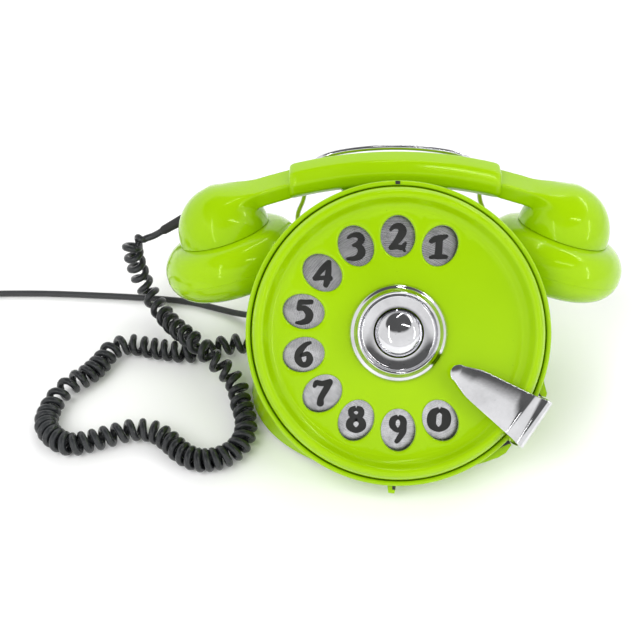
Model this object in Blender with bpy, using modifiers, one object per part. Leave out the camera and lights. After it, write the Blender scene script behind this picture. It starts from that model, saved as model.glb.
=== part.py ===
"""Corded landline phone with a large rotary dial, a cradle-hung handset and two cords.

Metres, +Z up. The phone's front faces -Y, and the resting surface is z = 0.
The world origin is the bottom centre of the phone and its handset, without the free cords.
Turned parts of the dial are drawn in the dial's own frame: +Z out of the dial, +Y up its slope.
"""
import math

import bmesh
import bpy
from mathutils import Matrix, Vector

# ---- driving dimensions -------------------------------------------------------------------
MM = 0.001
GAP = 0.0003
MERGE = 0.00002

DIAL_TILT = math.radians(45)
DIAL_CENTRE = Vector((0.0, -0.0323, 0.078))

WHEEL_RADIUS = 0.078
WHEEL_FACE_Z = -0.007
WHEEL_UNDERSIDE_Z = -0.0095
HOLE_PITCH_RADIUS = 0.0515
HOLE_RADIAL = 0.0224
HOLE_TANGENTIAL = 0.0184
HOLE_COUNT = 10
HOLE_STEP = 2 * math.pi / 14
FIRST_HOLE_ANGLE = math.radians(64.3)
STOP_ANGLE = math.radians(-34)

BEZEL_RADIUS = 0.0813
BEZEL_BOTTOM_Z = -0.0185
NUMBER_PLATE_Z = -0.0158
SHAFT_RADIUS = 0.004
HUB_RADIUS = 0.026

GEAR_MODULE = 0.001
MAIN_TEETH = 48
PINION_TEETH = 12
GEAR_Z = (-0.0365, -0.0335)
GEAR_CENTRES = 0.0305

WALL = 0.0025
FOOT_HALF_WIDTH = 0.083
FOOT_HALF_LENGTH = 0.066
FOOT_CENTRE_Y = 0.030
SHELL_BOTTOM_Z = 0.0032
SHELL_PINCH = 0.88
PLATE_Z = (0.0033, 0.0053)
PLATE_INSET = 0.0055
PAD_RADIUS = 0.0075
FOOT_PADS = {
    "front_left": (-0.046, -0.014), "front_right": (0.046, -0.014),
    "rear_left": (-0.044, 0.070), "rear_right": (0.044, 0.070),
}

GRIP_CENTRE = Vector((0.0, 0.092, 0.116))
GRIP_LEAN = math.radians(-4)
GRIP_HALF_LENGTH = 0.0593
GRIP_ARCH = 0.0082
CUP_PLACE = Vector((0.0978, -0.0052, -0.0393))
CUP_LEAN = math.radians(-17.5)
CUP_TILT = math.radians(16.2)
BULB_RADIUS = 0.0267
BULB_HEIGHT = 0.0277

HANDLE_WIRE_RADIUS = 0.0016
CURLY_RADIUS = 0.0070
LEAD_RADIUS = 0.0021
LINE_RADIUS = 0.002

LIME = (0.30, 0.62, 0.0, 1.0)
CHROME = (0.80, 0.80, 0.82, 1.0)
STEEL = (0.55, 0.56, 0.57, 1.0)
ALUMINIUM = (0.75, 0.75, 0.76, 1.0)
BRASS = (0.70, 0.52, 0.20, 1.0)
BLACK = (0.02, 0.02, 0.022, 1.0)
GREY = (0.20, 0.20, 0.21, 1.0)
BOARD = (0.35, 0.24, 0.10, 1.0)
COPPER = (0.60, 0.27, 0.12, 1.0)

MATERIALS = {
    "lime_abs": (LIME, 0.12, 0.0),
    "chrome": (CHROME, 0.08, 1.0),
    "steel": (STEEL, 0.35, 1.0),
    "aluminium": (ALUMINIUM, 0.30, 1.0),
    "brass": (BRASS, 0.30, 1.0),
    "black_pvc": (BLACK, 0.35, 0.0),
    "grey_pvc": (GREY, 0.50, 0.0),
    "rubber": (BLACK, 0.80, 0.0),
    "board": (BOARD, 0.60, 0.0),
    "copper": (COPPER, 0.35, 1.0),
}


# ---- scene helpers ------------------------------------------------------------------------
def clear_scene():
    for obj in list(bpy.data.objects):
        bpy.data.objects.remove(obj, do_unlink=True)


def new_collection(name):
    group = bpy.data.collections.new(name)
    bpy.context.scene.collection.children.link(group)
    return group


def new_material(name):
    color, roughness, metallic = MATERIALS[name]
    mat = bpy.data.materials.new(name)
    mat.use_nodes = True
    shader = mat.node_tree.nodes["Principled BSDF"]
    shader.inputs["Base Color"].default_value = color
    shader.inputs["Roughness"].default_value = roughness
    shader.inputs["Metallic"].default_value = metallic
    mat.diffuse_color = color
    return mat


clear_scene()
PARTS = new_collection("corded_landline_phone")
CUTTERS = new_collection("cutters")
MATS = {name: new_material(name) for name in MATERIALS}


def new_empty(name, location, rotation=(0, 0, 0), parent=None):
    empty = bpy.data.objects.new(name, None)
    empty.empty_display_size = 0.02
    PARTS.objects.link(empty)
    empty.location = location
    empty.rotation_euler = rotation
    empty.parent = parent
    return empty


def new_part(name, data, mat, parent=None, location=(0, 0, 0), rotation=(0, 0, 0)):
    obj = bpy.data.objects.new(name, data)
    PARTS.objects.link(obj)
    obj.location = location
    obj.rotation_euler = rotation
    obj.parent = parent
    data.materials.append(MATS[mat])
    return obj


def make_cutter(obj):
    for group in list(obj.users_collection):
        group.objects.unlink(obj)
    CUTTERS.objects.link(obj)
    obj.hide_render = True
    obj.display_type = "WIRE"
    return obj


def boolean(obj, tool, operation="DIFFERENCE"):
    modifier = obj.modifiers.new(operation.lower(), "BOOLEAN")
    modifier.object = make_cutter(tool)
    modifier.operation = operation
    modifier.solver = "EXACT"
    return obj


def bevel(obj, width, segments=2, angle=30):
    modifier = obj.modifiers.new("bevel", "BEVEL")
    modifier.width = width
    modifier.segments = segments
    modifier.limit_method = "ANGLE"
    modifier.angle_limit = math.radians(angle)
    modifier.use_clamp_overlap = True
    return obj


def finish_mesh(bm, name, smooth=False):
    bmesh.ops.recalc_face_normals(bm, faces=bm.faces)
    data = bpy.data.meshes.new(name)
    bm.to_mesh(data)
    bm.free()
    if smooth:
        data.shade_smooth()
        data.set_sharp_from_angle(angle=math.radians(35))
    return data


# ---- shape helpers ------------------------------------------------------------------------
def box(name, low, high, mat, parent=None, rounding=0.0):
    bm = bmesh.new()
    bmesh.ops.create_cube(bm, size=1.0)
    centre = (Vector(low) + Vector(high)) / 2
    size = Vector(high) - Vector(low)
    bmesh.ops.scale(bm, vec=size, verts=bm.verts)
    obj = new_part(name, finish_mesh(bm, name), mat, parent, centre)
    if rounding:
        bevel(obj, rounding)
    return obj


def cylinder(name, start, end, radius, mat, parent=None, sides=24, end_radius=None):
    """A straight or tapered round bar from start to end, built along its own +Z."""
    axis = Vector(end) - Vector(start)
    bm = bmesh.new()
    tip = radius if end_radius is None else end_radius
    bmesh.ops.create_cone(bm, cap_ends=True, segments=sides, radius1=radius, radius2=tip, depth=axis.length)
    turn = Vector((0, 0, 1)).rotation_difference(axis.normalized())
    middle = (Vector(start) + Vector(end)) / 2
    obj = new_part(name, finish_mesh(bm, name, smooth=True), mat, parent, middle)
    obj.rotation_euler = turn.to_euler()
    return obj


def turned(name, profile, mat, parent=None, steps=48, closed=False, location=(0, 0, 0), rotation=(0, 0, 0)):
    """A profile of (radius, z) points that runs down its outer side, screwed round +Z."""
    bm = bmesh.new()
    verts = [bm.verts.new((radius, 0, z)) for radius, z in profile]
    for first, second in zip(verts, verts[1:]):
        bm.edges.new((first, second))
    if closed:
        bm.edges.new((verts[-1], verts[0]))
    data = bpy.data.meshes.new(name)
    bm.to_mesh(data)
    bm.free()
    obj = new_part(name, data, mat, parent, location, rotation)
    screw = obj.modifiers.new("turn", "SCREW")
    screw.axis = "Z"
    screw.angle = 2 * math.pi
    screw.steps = steps
    screw.render_steps = steps
    screw.use_merge_vertices = True
    screw.merge_threshold = MERGE
    screw.use_smooth_shade = True
    return obj


def washer(name, inner, outer, low, high, mat, parent=None, steps=48, location=(0, 0, 0)):
    profile = [(outer, high), (outer, low), (inner, low), (inner, high)]
    return turned(name, profile, mat, parent, steps, closed=True, location=location)


def ellipse(width, height, count, centre=(0, 0)):
    points = []
    for index in range(count):
        angle = 2 * math.pi * index / count
        points.append((centre[0] + width / 2 * math.cos(angle), centre[1] + height / 2 * math.sin(angle)))
    return points


def prism(name, outline, low, high, mat, parent=None, location=(0, 0, 0), rotation=(0, 0, 0)):
    """A flat outline in XY with thickness from low to high, as a capped mesh."""
    bm = bmesh.new()
    base = [bm.verts.new((x, y, low)) for x, y in outline]
    face = bm.faces.new(base)
    raised = bmesh.ops.extrude_face_region(bm, geom=[face])
    moved = [item for item in raised["geom"] if isinstance(item, bmesh.types.BMVert)]
    bmesh.ops.translate(bm, vec=(0, 0, high - low), verts=moved)
    return new_part(name, finish_mesh(bm, name), mat, parent, location, rotation)


def loft(name, rings, mat, parent=None, capped=True, smooth=True):
    """Joins rings of equal point count, and caps the first and last ring."""
    bm = bmesh.new()
    rows = [[bm.verts.new(point) for point in ring] for ring in rings]
    count = len(rows[0])
    for low, high in zip(rows, rows[1:]):
        for index in range(count):
            after = (index + 1) % count
            bm.faces.new((low[index], low[after], high[after], high[index]))
    if capped:
        bm.faces.new(rows[0])
        bm.faces.new(rows[-1])
    return new_part(name, finish_mesh(bm, name, smooth), mat, parent)


def smooth_route(points, spacing):
    """Evenly spaced points on a Catmull-Rom curve through hand-chosen route points."""
    ends = [points[0] * 2 - points[1]] + list(points) + [points[-1] * 2 - points[-2]]
    dense = []
    for index in range(1, len(ends) - 2):
        before, start, end, after = ends[index - 1:index + 3]
        for step in range(24):
            t = step / 24
            bend = (end - before) * t
            curve = (before * 2 - start * 5 + end * 4 - after) * t * t
            twist = (start * 3 - end * 3 + after - before) * t * t * t
            dense.append((start * 2 + bend + curve + twist) / 2)
    dense.append(points[-1].copy())
    total = sum((second - first).length for first, second in zip(dense, dense[1:]))
    pieces = max(2, round(total / spacing))
    wanted = [total * index / pieces for index in range(pieces + 1)]
    result = []
    travelled = 0.0
    for first, second in zip(dense, dense[1:]):
        length = (second - first).length
        while wanted and wanted[0] <= travelled + length + 1e-9:
            result.append(first.lerp(second, min(1.0, (wanted.pop(0) - travelled) / length)))
        travelled += length
    if wanted:
        result.append(dense[-1])
    return result


def tube(name, points, radius, mat, parent=None, resolution=2):
    data = bpy.data.curves.new(name, "CURVE")
    data.dimensions = "3D"
    data.bevel_depth = radius
    data.bevel_resolution = resolution
    data.use_fill_caps = True
    spline = data.splines.new("POLY")
    spline.points.add(len(points) - 1)
    for slot, point in zip(spline.points, points):
        slot.co = (*point, 1.0)
        slot.radius = 1.0
    return new_part(name, data, mat, parent)


def rounded_section(width, height, radius, corner_points=3):
    """A rounded rectangle as (across, up) points, counter-clockwise."""
    points = []
    for quarter in range(4):
        side_x = 1 if quarter in (0, 3) else -1
        side_z = 1 if quarter in (0, 1) else -1
        for step in range(corner_points + 1):
            angle = math.pi / 2 * (quarter + step / corner_points)
            across = side_x * (width / 2 - radius) + radius * math.cos(angle)
            up = side_z * (height / 2 - radius) + radius * math.sin(angle)
            points.append((across, up))
    return points


# ---- frames -------------------------------------------------------------------------------
DIAL = new_empty("dial_frame", DIAL_CENTRE, (math.pi / 2 - DIAL_TILT, 0, 0))
BODY_SHIFT = Vector((0, DIAL_CENTRE.y, 0))
BODY = new_empty("body_frame", BODY_SHIFT)
HANDSET = new_empty("handset_frame", BODY_SHIFT + GRIP_CENTRE, (GRIP_LEAN, 0, 0))
DIAL_TURN = Matrix.Rotation(math.pi / 2 - DIAL_TILT, 4, "X")
DIAL_IN_BODY = Matrix.Translation(DIAL_CENTRE - BODY_SHIFT) @ DIAL_TURN


# ---- housing ------------------------------------------------------------------------------
def foot_point(angle, inset=0.0):
    """The foot's outline, an ellipse seen from above, in body coordinates."""
    x = (FOOT_HALF_WIDTH - inset) * math.cos(angle)
    y = FOOT_CENTRE_Y + (FOOT_HALF_LENGTH - inset) * math.sin(angle)
    return Vector((x, y, 0))


def shell_rings(outset=0.0, count=44):
    """Rings from the dial's rim down to the foot, each point on a quadratic curve."""
    rings = []
    for level in (0.0, 0.12, 0.27, 0.44, 0.62, 0.80, 1.0):
        ring = []
        for index in range(count):
            angle = 2 * math.pi * index / count
            radius = BEZEL_RADIUS - 0.0006 + outset
            rim = Vector((radius * math.cos(angle), radius * math.sin(angle), BEZEL_BOTTOM_Z + 0.0008))
            depth = 0.004 + 0.011 * (1 + math.sin(angle))
            back = Vector((rim.x * SHELL_PINCH, rim.y * 0.97, rim.z - depth))
            top = DIAL_IN_BODY @ rim
            middle = DIAL_IN_BODY @ back
            bottom = foot_point(angle, -outset) + Vector((0, 0, SHELL_BOTTOM_Z))
            waist = middle.lerp(bottom, 0.12)
            point = top * (1 - level) ** 2 + waist * 2 * level * (1 - level) + bottom * level ** 2
            ring.append(point)
        rings.append(ring)
    return rings


def build_shell():
    shell = loft("base_shell", shell_rings(), "lime_abs", BODY, capped=False)
    solid = shell.modifiers.new("wall", "SOLIDIFY")
    solid.thickness = WALL
    solid.offset = -1
    return shell


def cut_shell(shell):
    """Trims the shell flat under the bezel, and cuts the hook's slot and the holes for cords and handle."""
    under_bezel = (0, 0, BEZEL_BOTTOM_Z - GAP)
    trim = cylinder("rim_trim_cutter", under_bezel, (0, 0, 0.020), 0.095, "steel", DIAL, sides=32)
    boolean(shell, trim)
    boolean(shell, box("slot_cutter", (-0.0055, 0.068, 0.086), (0.0055, 0.097, 0.0965), "steel", BODY))
    curly_inner = CURLY_GROMMET + Vector((0.015, 0, 0))
    curly_outer = CURLY_GROMMET - Vector((0.010, 0, 0))
    line_inner = LINE_GROMMET - LINE_AIM * 0.014
    line_outer = LINE_GROMMET + LINE_AIM * 0.014
    for name, start, end, radius in (
        ("curly_exit_cutter", curly_inner, curly_outer, 0.0053),
        ("line_exit_cutter", line_inner, line_outer, 0.0048),
        ("handle_cutter_left", (-0.046, 0.080, 0.024), (-0.046, 0.105, 0.024), 0.0019),
        ("handle_cutter_right", (0.046, 0.080, 0.024), (0.046, 0.105, 0.024), 0.0019),
    ):
        boolean(shell, cylinder(name, start, end, radius, "steel", BODY))


def build_bezel():
    profile = [
        (0.0789, -0.0076), (0.0801, -0.0070), (BEZEL_RADIUS, -0.0084),
        (BEZEL_RADIUS, BEZEL_BOTTOM_Z), (0.066, BEZEL_BOTTOM_Z), (0.066, -0.0171), (0.0789, -0.0171),
    ]
    turned("dial_bezel", profile, "lime_abs", DIAL, steps=48, closed=True)


def build_base_plate():
    points = [foot_point(2 * math.pi * index / 32, PLATE_INSET) for index in range(32)]
    prism("base_plate", [(point.x, point.y) for point in points], PLATE_Z[0], PLATE_Z[1], "steel", BODY)


def build_pads():
    for name, (x, y) in FOOT_PADS.items():
        profile = [(0, 0.0030), (PAD_RADIUS, 0.0030), (PAD_RADIUS, 0.0008), (PAD_RADIUS - 0.0008, 0), (0, 0)]
        turned("foot_" + name, profile, "rubber", BODY, steps=24, location=(x, y, 0))
    for name, x in (("left", -0.024), ("right", 0.024)):
        profile = [(0, 0.0030), (0.0035, 0.0030), (0.0035, 0.0022), (0.0024, 0.0014), (0, 0.0014)]
        turned("base_screw_" + name, profile, "steel", BODY, steps=20, location=(x, 0.020, 0))


# ---- dial ---------------------------------------------------------------------------------
def hole_angle(index):
    return FIRST_HOLE_ANGLE + HOLE_STEP * index


def build_wheel():
    profile = [
        (SHAFT_RADIUS + GAP, WHEEL_FACE_Z), (0.0655, -0.0068), (0.0690, -0.0045), (0.0712, -0.0010),
        (0.0730, 0.0), (0.0755, -0.0010), (0.0775, -0.0042), (WHEEL_RADIUS, -0.0090), (0.0760, -0.0090),
        (0.0742, -0.0033), (0.0728, -0.0030), (0.0700, -0.0078), (0.0665, WHEEL_UNDERSIDE_Z),
        (SHAFT_RADIUS + GAP, WHEEL_UNDERSIDE_Z),
    ]
    wheel = turned("finger_wheel", profile, "lime_abs", DIAL, steps=48, closed=True)
    for index in range(HOLE_COUNT):
        outline = ellipse(HOLE_RADIAL, HOLE_TANGENTIAL, 16, (HOLE_PITCH_RADIUS, 0))
        hole = prism("finger_hole_cutter_%d" % index, outline, -0.014, -0.002, "steel", DIAL)
        hole.rotation_euler.z = hole_angle(index)
        boolean(wheel, hole)


def build_hub():
    ring = [
        (0.0133, -0.0016), (0.0190, -0.0018), (0.0198, -0.0006), (0.0206, 0.0006), (0.0215, 0.0008),
        (0.0222, 0.0), (0.0228, -0.0024), (0.0252, -0.0042), (HUB_RADIUS, -0.0056),
        (HUB_RADIUS, WHEEL_FACE_Z + GAP), (0.0133, WHEEL_FACE_Z + GAP),
    ]
    turned("hub_ring", ring, "chrome", DIAL, steps=36, closed=True)
    cap = [
        (0, 0.0045), (0.0045, 0.0041), (0.0080, 0.0030), (0.0108, 0.0012), (0.0124, -0.0008),
        (0.0129, -0.0028), (0.0129, WHEEL_FACE_Z + GAP), (0, WHEEL_FACE_Z + GAP),
    ]
    turned("hub_cap", cap, "chrome", DIAL, steps=28)


def build_dial_fixed():
    washer("number_plate", 0.030, 0.0755, -0.0168, NUMBER_PLATE_Z, "aluminium", DIAL, steps=40)
    washer("dial_plate", 0.0101, 0.063, -0.0205, -0.0190, "steel", DIAL, steps=28)
    bush = [
        (0.0075, -0.0135), (0.0098, -0.0150), (0.0098, -0.0235), (SHAFT_RADIUS + GAP, -0.0235),
        (SHAFT_RADIUS + GAP, -0.0135),
    ]
    turned("bearing_bush", bush, "brass", DIAL, steps=28, closed=True)
    plate = washer("gear_frame", SHAFT_RADIUS + GAP, 0.041, -0.0480, -0.0466, "steel", DIAL, steps=28)
    for index in range(3):
        angle = math.radians(90 + 120 * index)
        foot = Vector((0.037 * math.cos(angle), 0.037 * math.sin(angle), 0))
        post = cylinder("post_%d" % index, foot + Vector((0, 0, -0.0472)), foot + Vector((0, 0, -0.0208)),
                        0.0025, "steel", DIAL, sides=12)
        boolean(plate, post, "UNION")
    hole = cylinder("governor_bore_cutter", (GEAR_CENTRES, 0, -0.052), (GEAR_CENTRES, 0, -0.042), 0.0019,
                    "steel", DIAL, sides=16)
    boolean(plate, hole)
    box("pulse_switch", (-0.039, -0.006, -0.0310), (-0.029, 0.010, -0.0208), "grey_pvc", DIAL, 0.0006)


def gear_outline(teeth):
    """Straight-flanked teeth with room for backlash, as a flat outline."""
    pitch = GEAR_MODULE * teeth / 2
    root = pitch - 1.15 * GEAR_MODULE
    tip = pitch + 0.80 * GEAR_MODULE
    step = 2 * math.pi / teeth
    points = []
    for index in range(teeth):
        middle = step * index
        for share, radius in ((-0.30, root), (-0.10, tip), (0.10, tip), (0.30, root)):
            angle = middle + share * step
            points.append((radius * math.cos(angle), radius * math.sin(angle)))
    return points


def flat_outline(name, outline, low, high, mat, parent):
    """A filled 2D curve with thickness, closed, placed at its mid height."""
    data = bpy.data.curves.new(name, "CURVE")
    data.dimensions = "2D"
    data.fill_mode = "BOTH"
    data.extrude = (high - low) / 2
    for loop in outline:
        spline = data.splines.new("POLY")
        spline.points.add(len(loop) - 1)
        spline.use_cyclic_u = True
        for slot, (x, y) in zip(spline.points, loop):
            slot.co = (x, y, 0, 1)
    return new_part(name, data, mat, parent, (0, 0, (low + high) / 2))


def build_dial_train():
    shaft = [(0, -0.0071), (SHAFT_RADIUS, -0.0071), (SHAFT_RADIUS, -0.0500), (0, -0.0500)]
    turned("dial_shaft", shaft, "steel", DIAL, steps=24)
    bore = ellipse(2 * (SHAFT_RADIUS + GAP), 2 * (SHAFT_RADIUS + GAP), 24)
    flat_outline("main_gear", [gear_outline(MAIN_TEETH), bore], GEAR_Z[0], GEAR_Z[1], "brass", DIAL)
    centre = new_empty("governor_frame", (GEAR_CENTRES, 0, 0), parent=DIAL)
    half_tooth = math.pi / PINION_TEETH
    pinion_bore = ellipse(2 * 0.0018, 2 * 0.0018, 16)
    pinion = flat_outline("governor_pinion", [gear_outline(PINION_TEETH), pinion_bore],
                          GEAR_Z[0] - 0.0004, GEAR_Z[1] + 0.0004, "brass", centre)
    pinion.rotation_euler.z = math.pi + half_tooth
    drum = [
        (0, -0.0225), (0.0015, -0.0225), (0.0015, -0.0385), (0.0080, -0.0385), (0.0080, -0.0440),
        (0.0015, -0.0440), (0.0015, -0.0500), (0, -0.0500),
    ]
    turned("governor_drum", drum, "steel", centre, steps=24)
    turns = 3.25
    count = 46
    spiral = []
    for index in range(count):
        share = index / (count - 1)
        angle = 2 * math.pi * turns * share
        radius = 0.0055 + 0.0075 * share
        spiral.append(Vector((radius * math.cos(angle), radius * math.sin(angle), -0.0275)))
    tube("return_spring", spiral, 0.0006, "steel", DIAL, resolution=1)


def build_finger_stop():
    side = [
        (0.0340, 0.0010), (0.0745, 0.0010), (0.0795, 0.0040), (0.0819, 0.0030), (0.0819, -0.0165),
        (0.0866, -0.0165), (0.0880, -0.0010), (0.0872, 0.0050), (0.0855, 0.0076), (0.0833, 0.0082),
        (0.0815, 0.0072), (0.0745, 0.0030), (0.0340, 0.0028),
    ]
    stop = new_empty("finger_stop_frame", (0, 0, 0), (0, 0, STOP_ANGLE), DIAL)
    blade = prism("finger_stop", side, -0.016, 0.016, "chrome", stop, rotation=(math.pi / 2, 0, 0))
    tip = [(0.0378 + 0.0048 * math.cos(angle), 0.0048 * math.sin(angle))
           for angle in [math.radians(110 + 140 * index / 8) for index in range(9)]]
    plan = [(0.0900, -0.0148), (0.0900, 0.0148), (0.0740, 0.0121), (0.0480, 0.0084)] + tip
    plan += [(0.0480, -0.0084), (0.0740, -0.0121)]
    outline = prism("stop_outline_cutter", plan, -0.020, 0.012, "steel", stop)
    boolean(blade, outline, "INTERSECT")
    bevel(blade, 0.0004, 1, 40)


# ---- cradle, hook and handle ---------------------------------------------------------------
def build_cradle():
    saddle = box("cradle_saddle", (-0.030, 0.068, 0.078), (0.030, 0.107, 0.1050), "lime_abs", BODY, 0.0025)
    hollow = box("saddle_hollow_cutter", (-0.0272, 0.060, 0.070), (0.0272, 0.1042, 0.0985), "steel", BODY)
    boolean(saddle, hollow)
    for side in (-1, 1):
        bore = cylinder("plunger_bore_cutter_%d" % (side + 1), (side * 0.014, 0.092, 0.090),
                        (side * 0.014, 0.092, 0.112), 0.0030, "steel", BODY)
        boolean(saddle, bore)
    fit = loft("saddle_fit_cutter", shell_rings(GAP), "steel", BODY)
    boolean(saddle, fit)


def build_hook():
    for name, side in (("left", -1), ("right", 1)):
        foot = (side * 0.014, 0.092, 0.0903)
        top = (side * 0.014, 0.092, 0.1067)
        cylinder("hook_plunger_" + name, foot, top, 0.0026, "chrome", BODY, sides=20)
    outline = [(-0.018, 0.0955), (-0.018, 0.0885), (-0.0042, 0.0885), (-0.0042, 0.0700),
               (0.0042, 0.0700), (0.0042, 0.0885), (0.018, 0.0885), (0.018, 0.0955)]
    prism("hook_crossbar", outline, 0.0880, 0.0900, "steel", BODY)
    box("hook_switch", (-0.010, 0.0655, 0.068), (0.010, 0.0780, 0.0870), "grey_pvc", BODY, 0.0006)


def build_handle():
    route = [
        (-0.046, 0.086, 0.024), (-0.046, 0.097, 0.024), (-0.050, 0.106, 0.030), (-0.0555, 0.111, 0.045),
        (-0.0565, 0.112, 0.066), (-0.0525, 0.112, 0.080), (-0.0500, 0.112, 0.095), (-0.0450, 0.112, 0.1065),
        (-0.0350, 0.112, 0.1122), (-0.0180, 0.112, 0.1155), (0.0, 0.112, 0.1165),
    ]
    left = [Vector(point) for point in route]
    right = [Vector((-point.x, point.y, point.z)) for point in reversed(left[:-1])]
    tube("carry_handle", smooth_route(left + right, 0.0095), HANDLE_WIRE_RADIUS, "chrome", BODY)


# ---- bell, board and wiring blocks ----------------------------------------------------------
def build_ringer():
    frame = [(-0.019, 0), (0.019, 0), (0.019, 0.022), (0.0175, 0.022), (0.0175, 0.0015), (-0.0175, 0.0015),
             (-0.0175, 0.022), (-0.019, 0.022)]
    prism("ringer_frame", frame, -0.007, 0.007, "steel", BODY, (0, 0.036, 0.0056), (math.pi / 2, 0, 0))
    for name, side in (("left", -1), ("right", 1)):
        low = (side * 0.0088, 0.036, 0.0074)
        high = (side * 0.0088, 0.036, 0.0245)
        cylinder("ringer_coil_" + name, low, high, 0.0068, "copper", BODY, sides=20)
        bell = [
            (0, 0.0360), (0.009, 0.0352), (0.0155, 0.0322), (0.0190, 0.0275), (0.0200, 0.0220),
            (0.0188, 0.0220), (0.0178, 0.0268), (0.0147, 0.0310), (0.0085, 0.0339), (0.0032, 0.0345),
            (0.0030, 0.0057), (0, 0.0057),
        ]
        turned("gong_" + name, bell, "brass", BODY, steps=20, location=(side * 0.0238, 0.066, 0))
    pivot = new_empty("clapper_frame", (0, 0.042, 0.0262), parent=BODY)
    hub = cylinder("clapper", (0, 0, -0.0012), (0, 0, 0.0012), 0.0032, "steel", pivot, sides=16)
    arm = box("clapper_arm", (-0.0008, 0.001, -0.0008), (0.0008, 0.0235, 0.0008), "steel", pivot)
    boolean(hub, arm, "UNION")
    bm = bmesh.new()
    bmesh.ops.create_uvsphere(bm, u_segments=12, v_segments=8, radius=0.0024)
    ball = new_part("clapper_ball", finish_mesh(bm, "clapper_ball"), "steel", pivot, (0, 0.024, 0))
    boolean(hub, ball, "UNION")


def build_electrics():
    box("circuit_board", (-0.034, -0.0265, 0.0066), (0.034, 0.012, 0.0082), "board", BODY)
    box("induction_coil", (-0.026, -0.020, 0.0085), (-0.008, -0.004, 0.0170), "copper", BODY, 0.0008)
    left_end = (0.004, -0.012, 0.0132)
    right_end = (0.028, -0.012, 0.0132)
    cylinder("capacitor", left_end, right_end, 0.0045, "aluminium", BODY, sides=20)
    box("terminal_block", (0.030, 0.020, 0.0056), (0.048, 0.046, 0.0140), "grey_pvc", BODY, 0.0008)


# ---- handset --------------------------------------------------------------------------------
def grip_drop(x):
    return -GRIP_ARCH * (x / GRIP_HALF_LENGTH) ** 2


def build_grip():
    section = rounded_section(0.021, 0.017, 0.0068)
    stations = [(-1.0, 0.86), (-0.985, 0.95), (-0.955, 1.0)]
    stations += [(-0.75, 1.0), (-0.5, 1.0), (-0.25, 1.0), (0.0, 1.0), (0.25, 1.0), (0.5, 1.0), (0.75, 1.0)]
    stations += [(0.955, 1.0), (0.985, 0.95), (1.0, 0.86)]
    rings = []
    for share, scale in stations:
        x = share * GRIP_HALF_LENGTH
        rings.append([Vector((x, across * scale, grip_drop(x) + up * scale)) for across, up in section])
    loft("grip_sleeve", rings, "lime_abs", HANDSET)


def build_arm(side):
    """The flat bar between the grip and one cup, sloping down and widening into the cup."""
    stations = [(0.0596, -0.0100, 0.0165, 0.0095), (0.0720, -0.0140, 0.0168, 0.0097),
                (0.0830, -0.0184, 0.0178, 0.0105), (0.0900, -0.0220, 0.0190, 0.0110)]
    rings = []
    for x, z, width, height in stations:
        section = rounded_section(width, height, 0.0016, 2)
        rings.append([Vector((side * x, across, z + up)) for across, up in section])
    return loft("arm_%d" % (side + 1), rings, "lime_abs", HANDSET, smooth=False)


def dome(radius, height, steps):
    """A quarter ellipse from the pole towards the rim, without its last point."""
    angles = [math.pi / 2 * step / steps for step in range(steps)]
    return [(radius * math.sin(angle), height * math.cos(angle)) for angle in angles]


def bulb_profile():
    inner_radius = BULB_RADIUS - WALL
    inner = dome(inner_radius, BULB_HEIGHT - WALL, 4)
    return dome(BULB_RADIUS, BULB_HEIGHT, 7) + [(BULB_RADIUS, 0.0), (inner_radius, 0.0)] + inner[::-1]


CAP_PROFILE = [
    (0.0, -0.0312), (0.0262, -0.0294), (0.0350, -0.0240), (0.0374, -0.0167), (0.0335, -0.0060),
    (0.0241, -0.0035), (0.0241, -0.0003), (0.0270, -0.0003), (0.0335, -0.0026), (0.0388, -0.0083),
    (0.0408, -0.0157), (0.0398, -0.0216), (0.0354, -0.0279), (0.0277, -0.0321), (0.0, -0.0337),
]


def build_cup(name, side, cap_name, capsule_name):
    turn = Matrix.Rotation(CUP_LEAN, 3, "X") @ Matrix.Rotation(side * CUP_TILT, 3, "Y")
    place = Vector((side * CUP_PLACE.x, CUP_PLACE.y, CUP_PLACE.z))
    cup = new_empty("cup_frame_" + name, place, turn.to_euler(), HANDSET)
    bulb = turned("handset_shell_" + name, bulb_profile(), "lime_abs", cup, steps=32)
    boolean(bulb, build_arm(side), "UNION")
    turned(cap_name, CAP_PROFILE, "lime_abs", cup, steps=32)
    capsule = [(0, -0.0080), (0.0120, -0.0080), (0.0130, -0.0120), (0.0225, -0.0140), (0.0230, -0.0280),
               (0.0, -0.0290)]
    turned(capsule_name, capsule, "aluminium", cup, steps=28)
    return bulb


def build_handset():
    """Returns the left shell, which the cord's strain relief passes into."""
    build_grip()
    build_cup("right", 1, "ear_cap", "receiver_capsule")
    return build_cup("left", -1, "mouth_cap", "transmitter_capsule")


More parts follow.
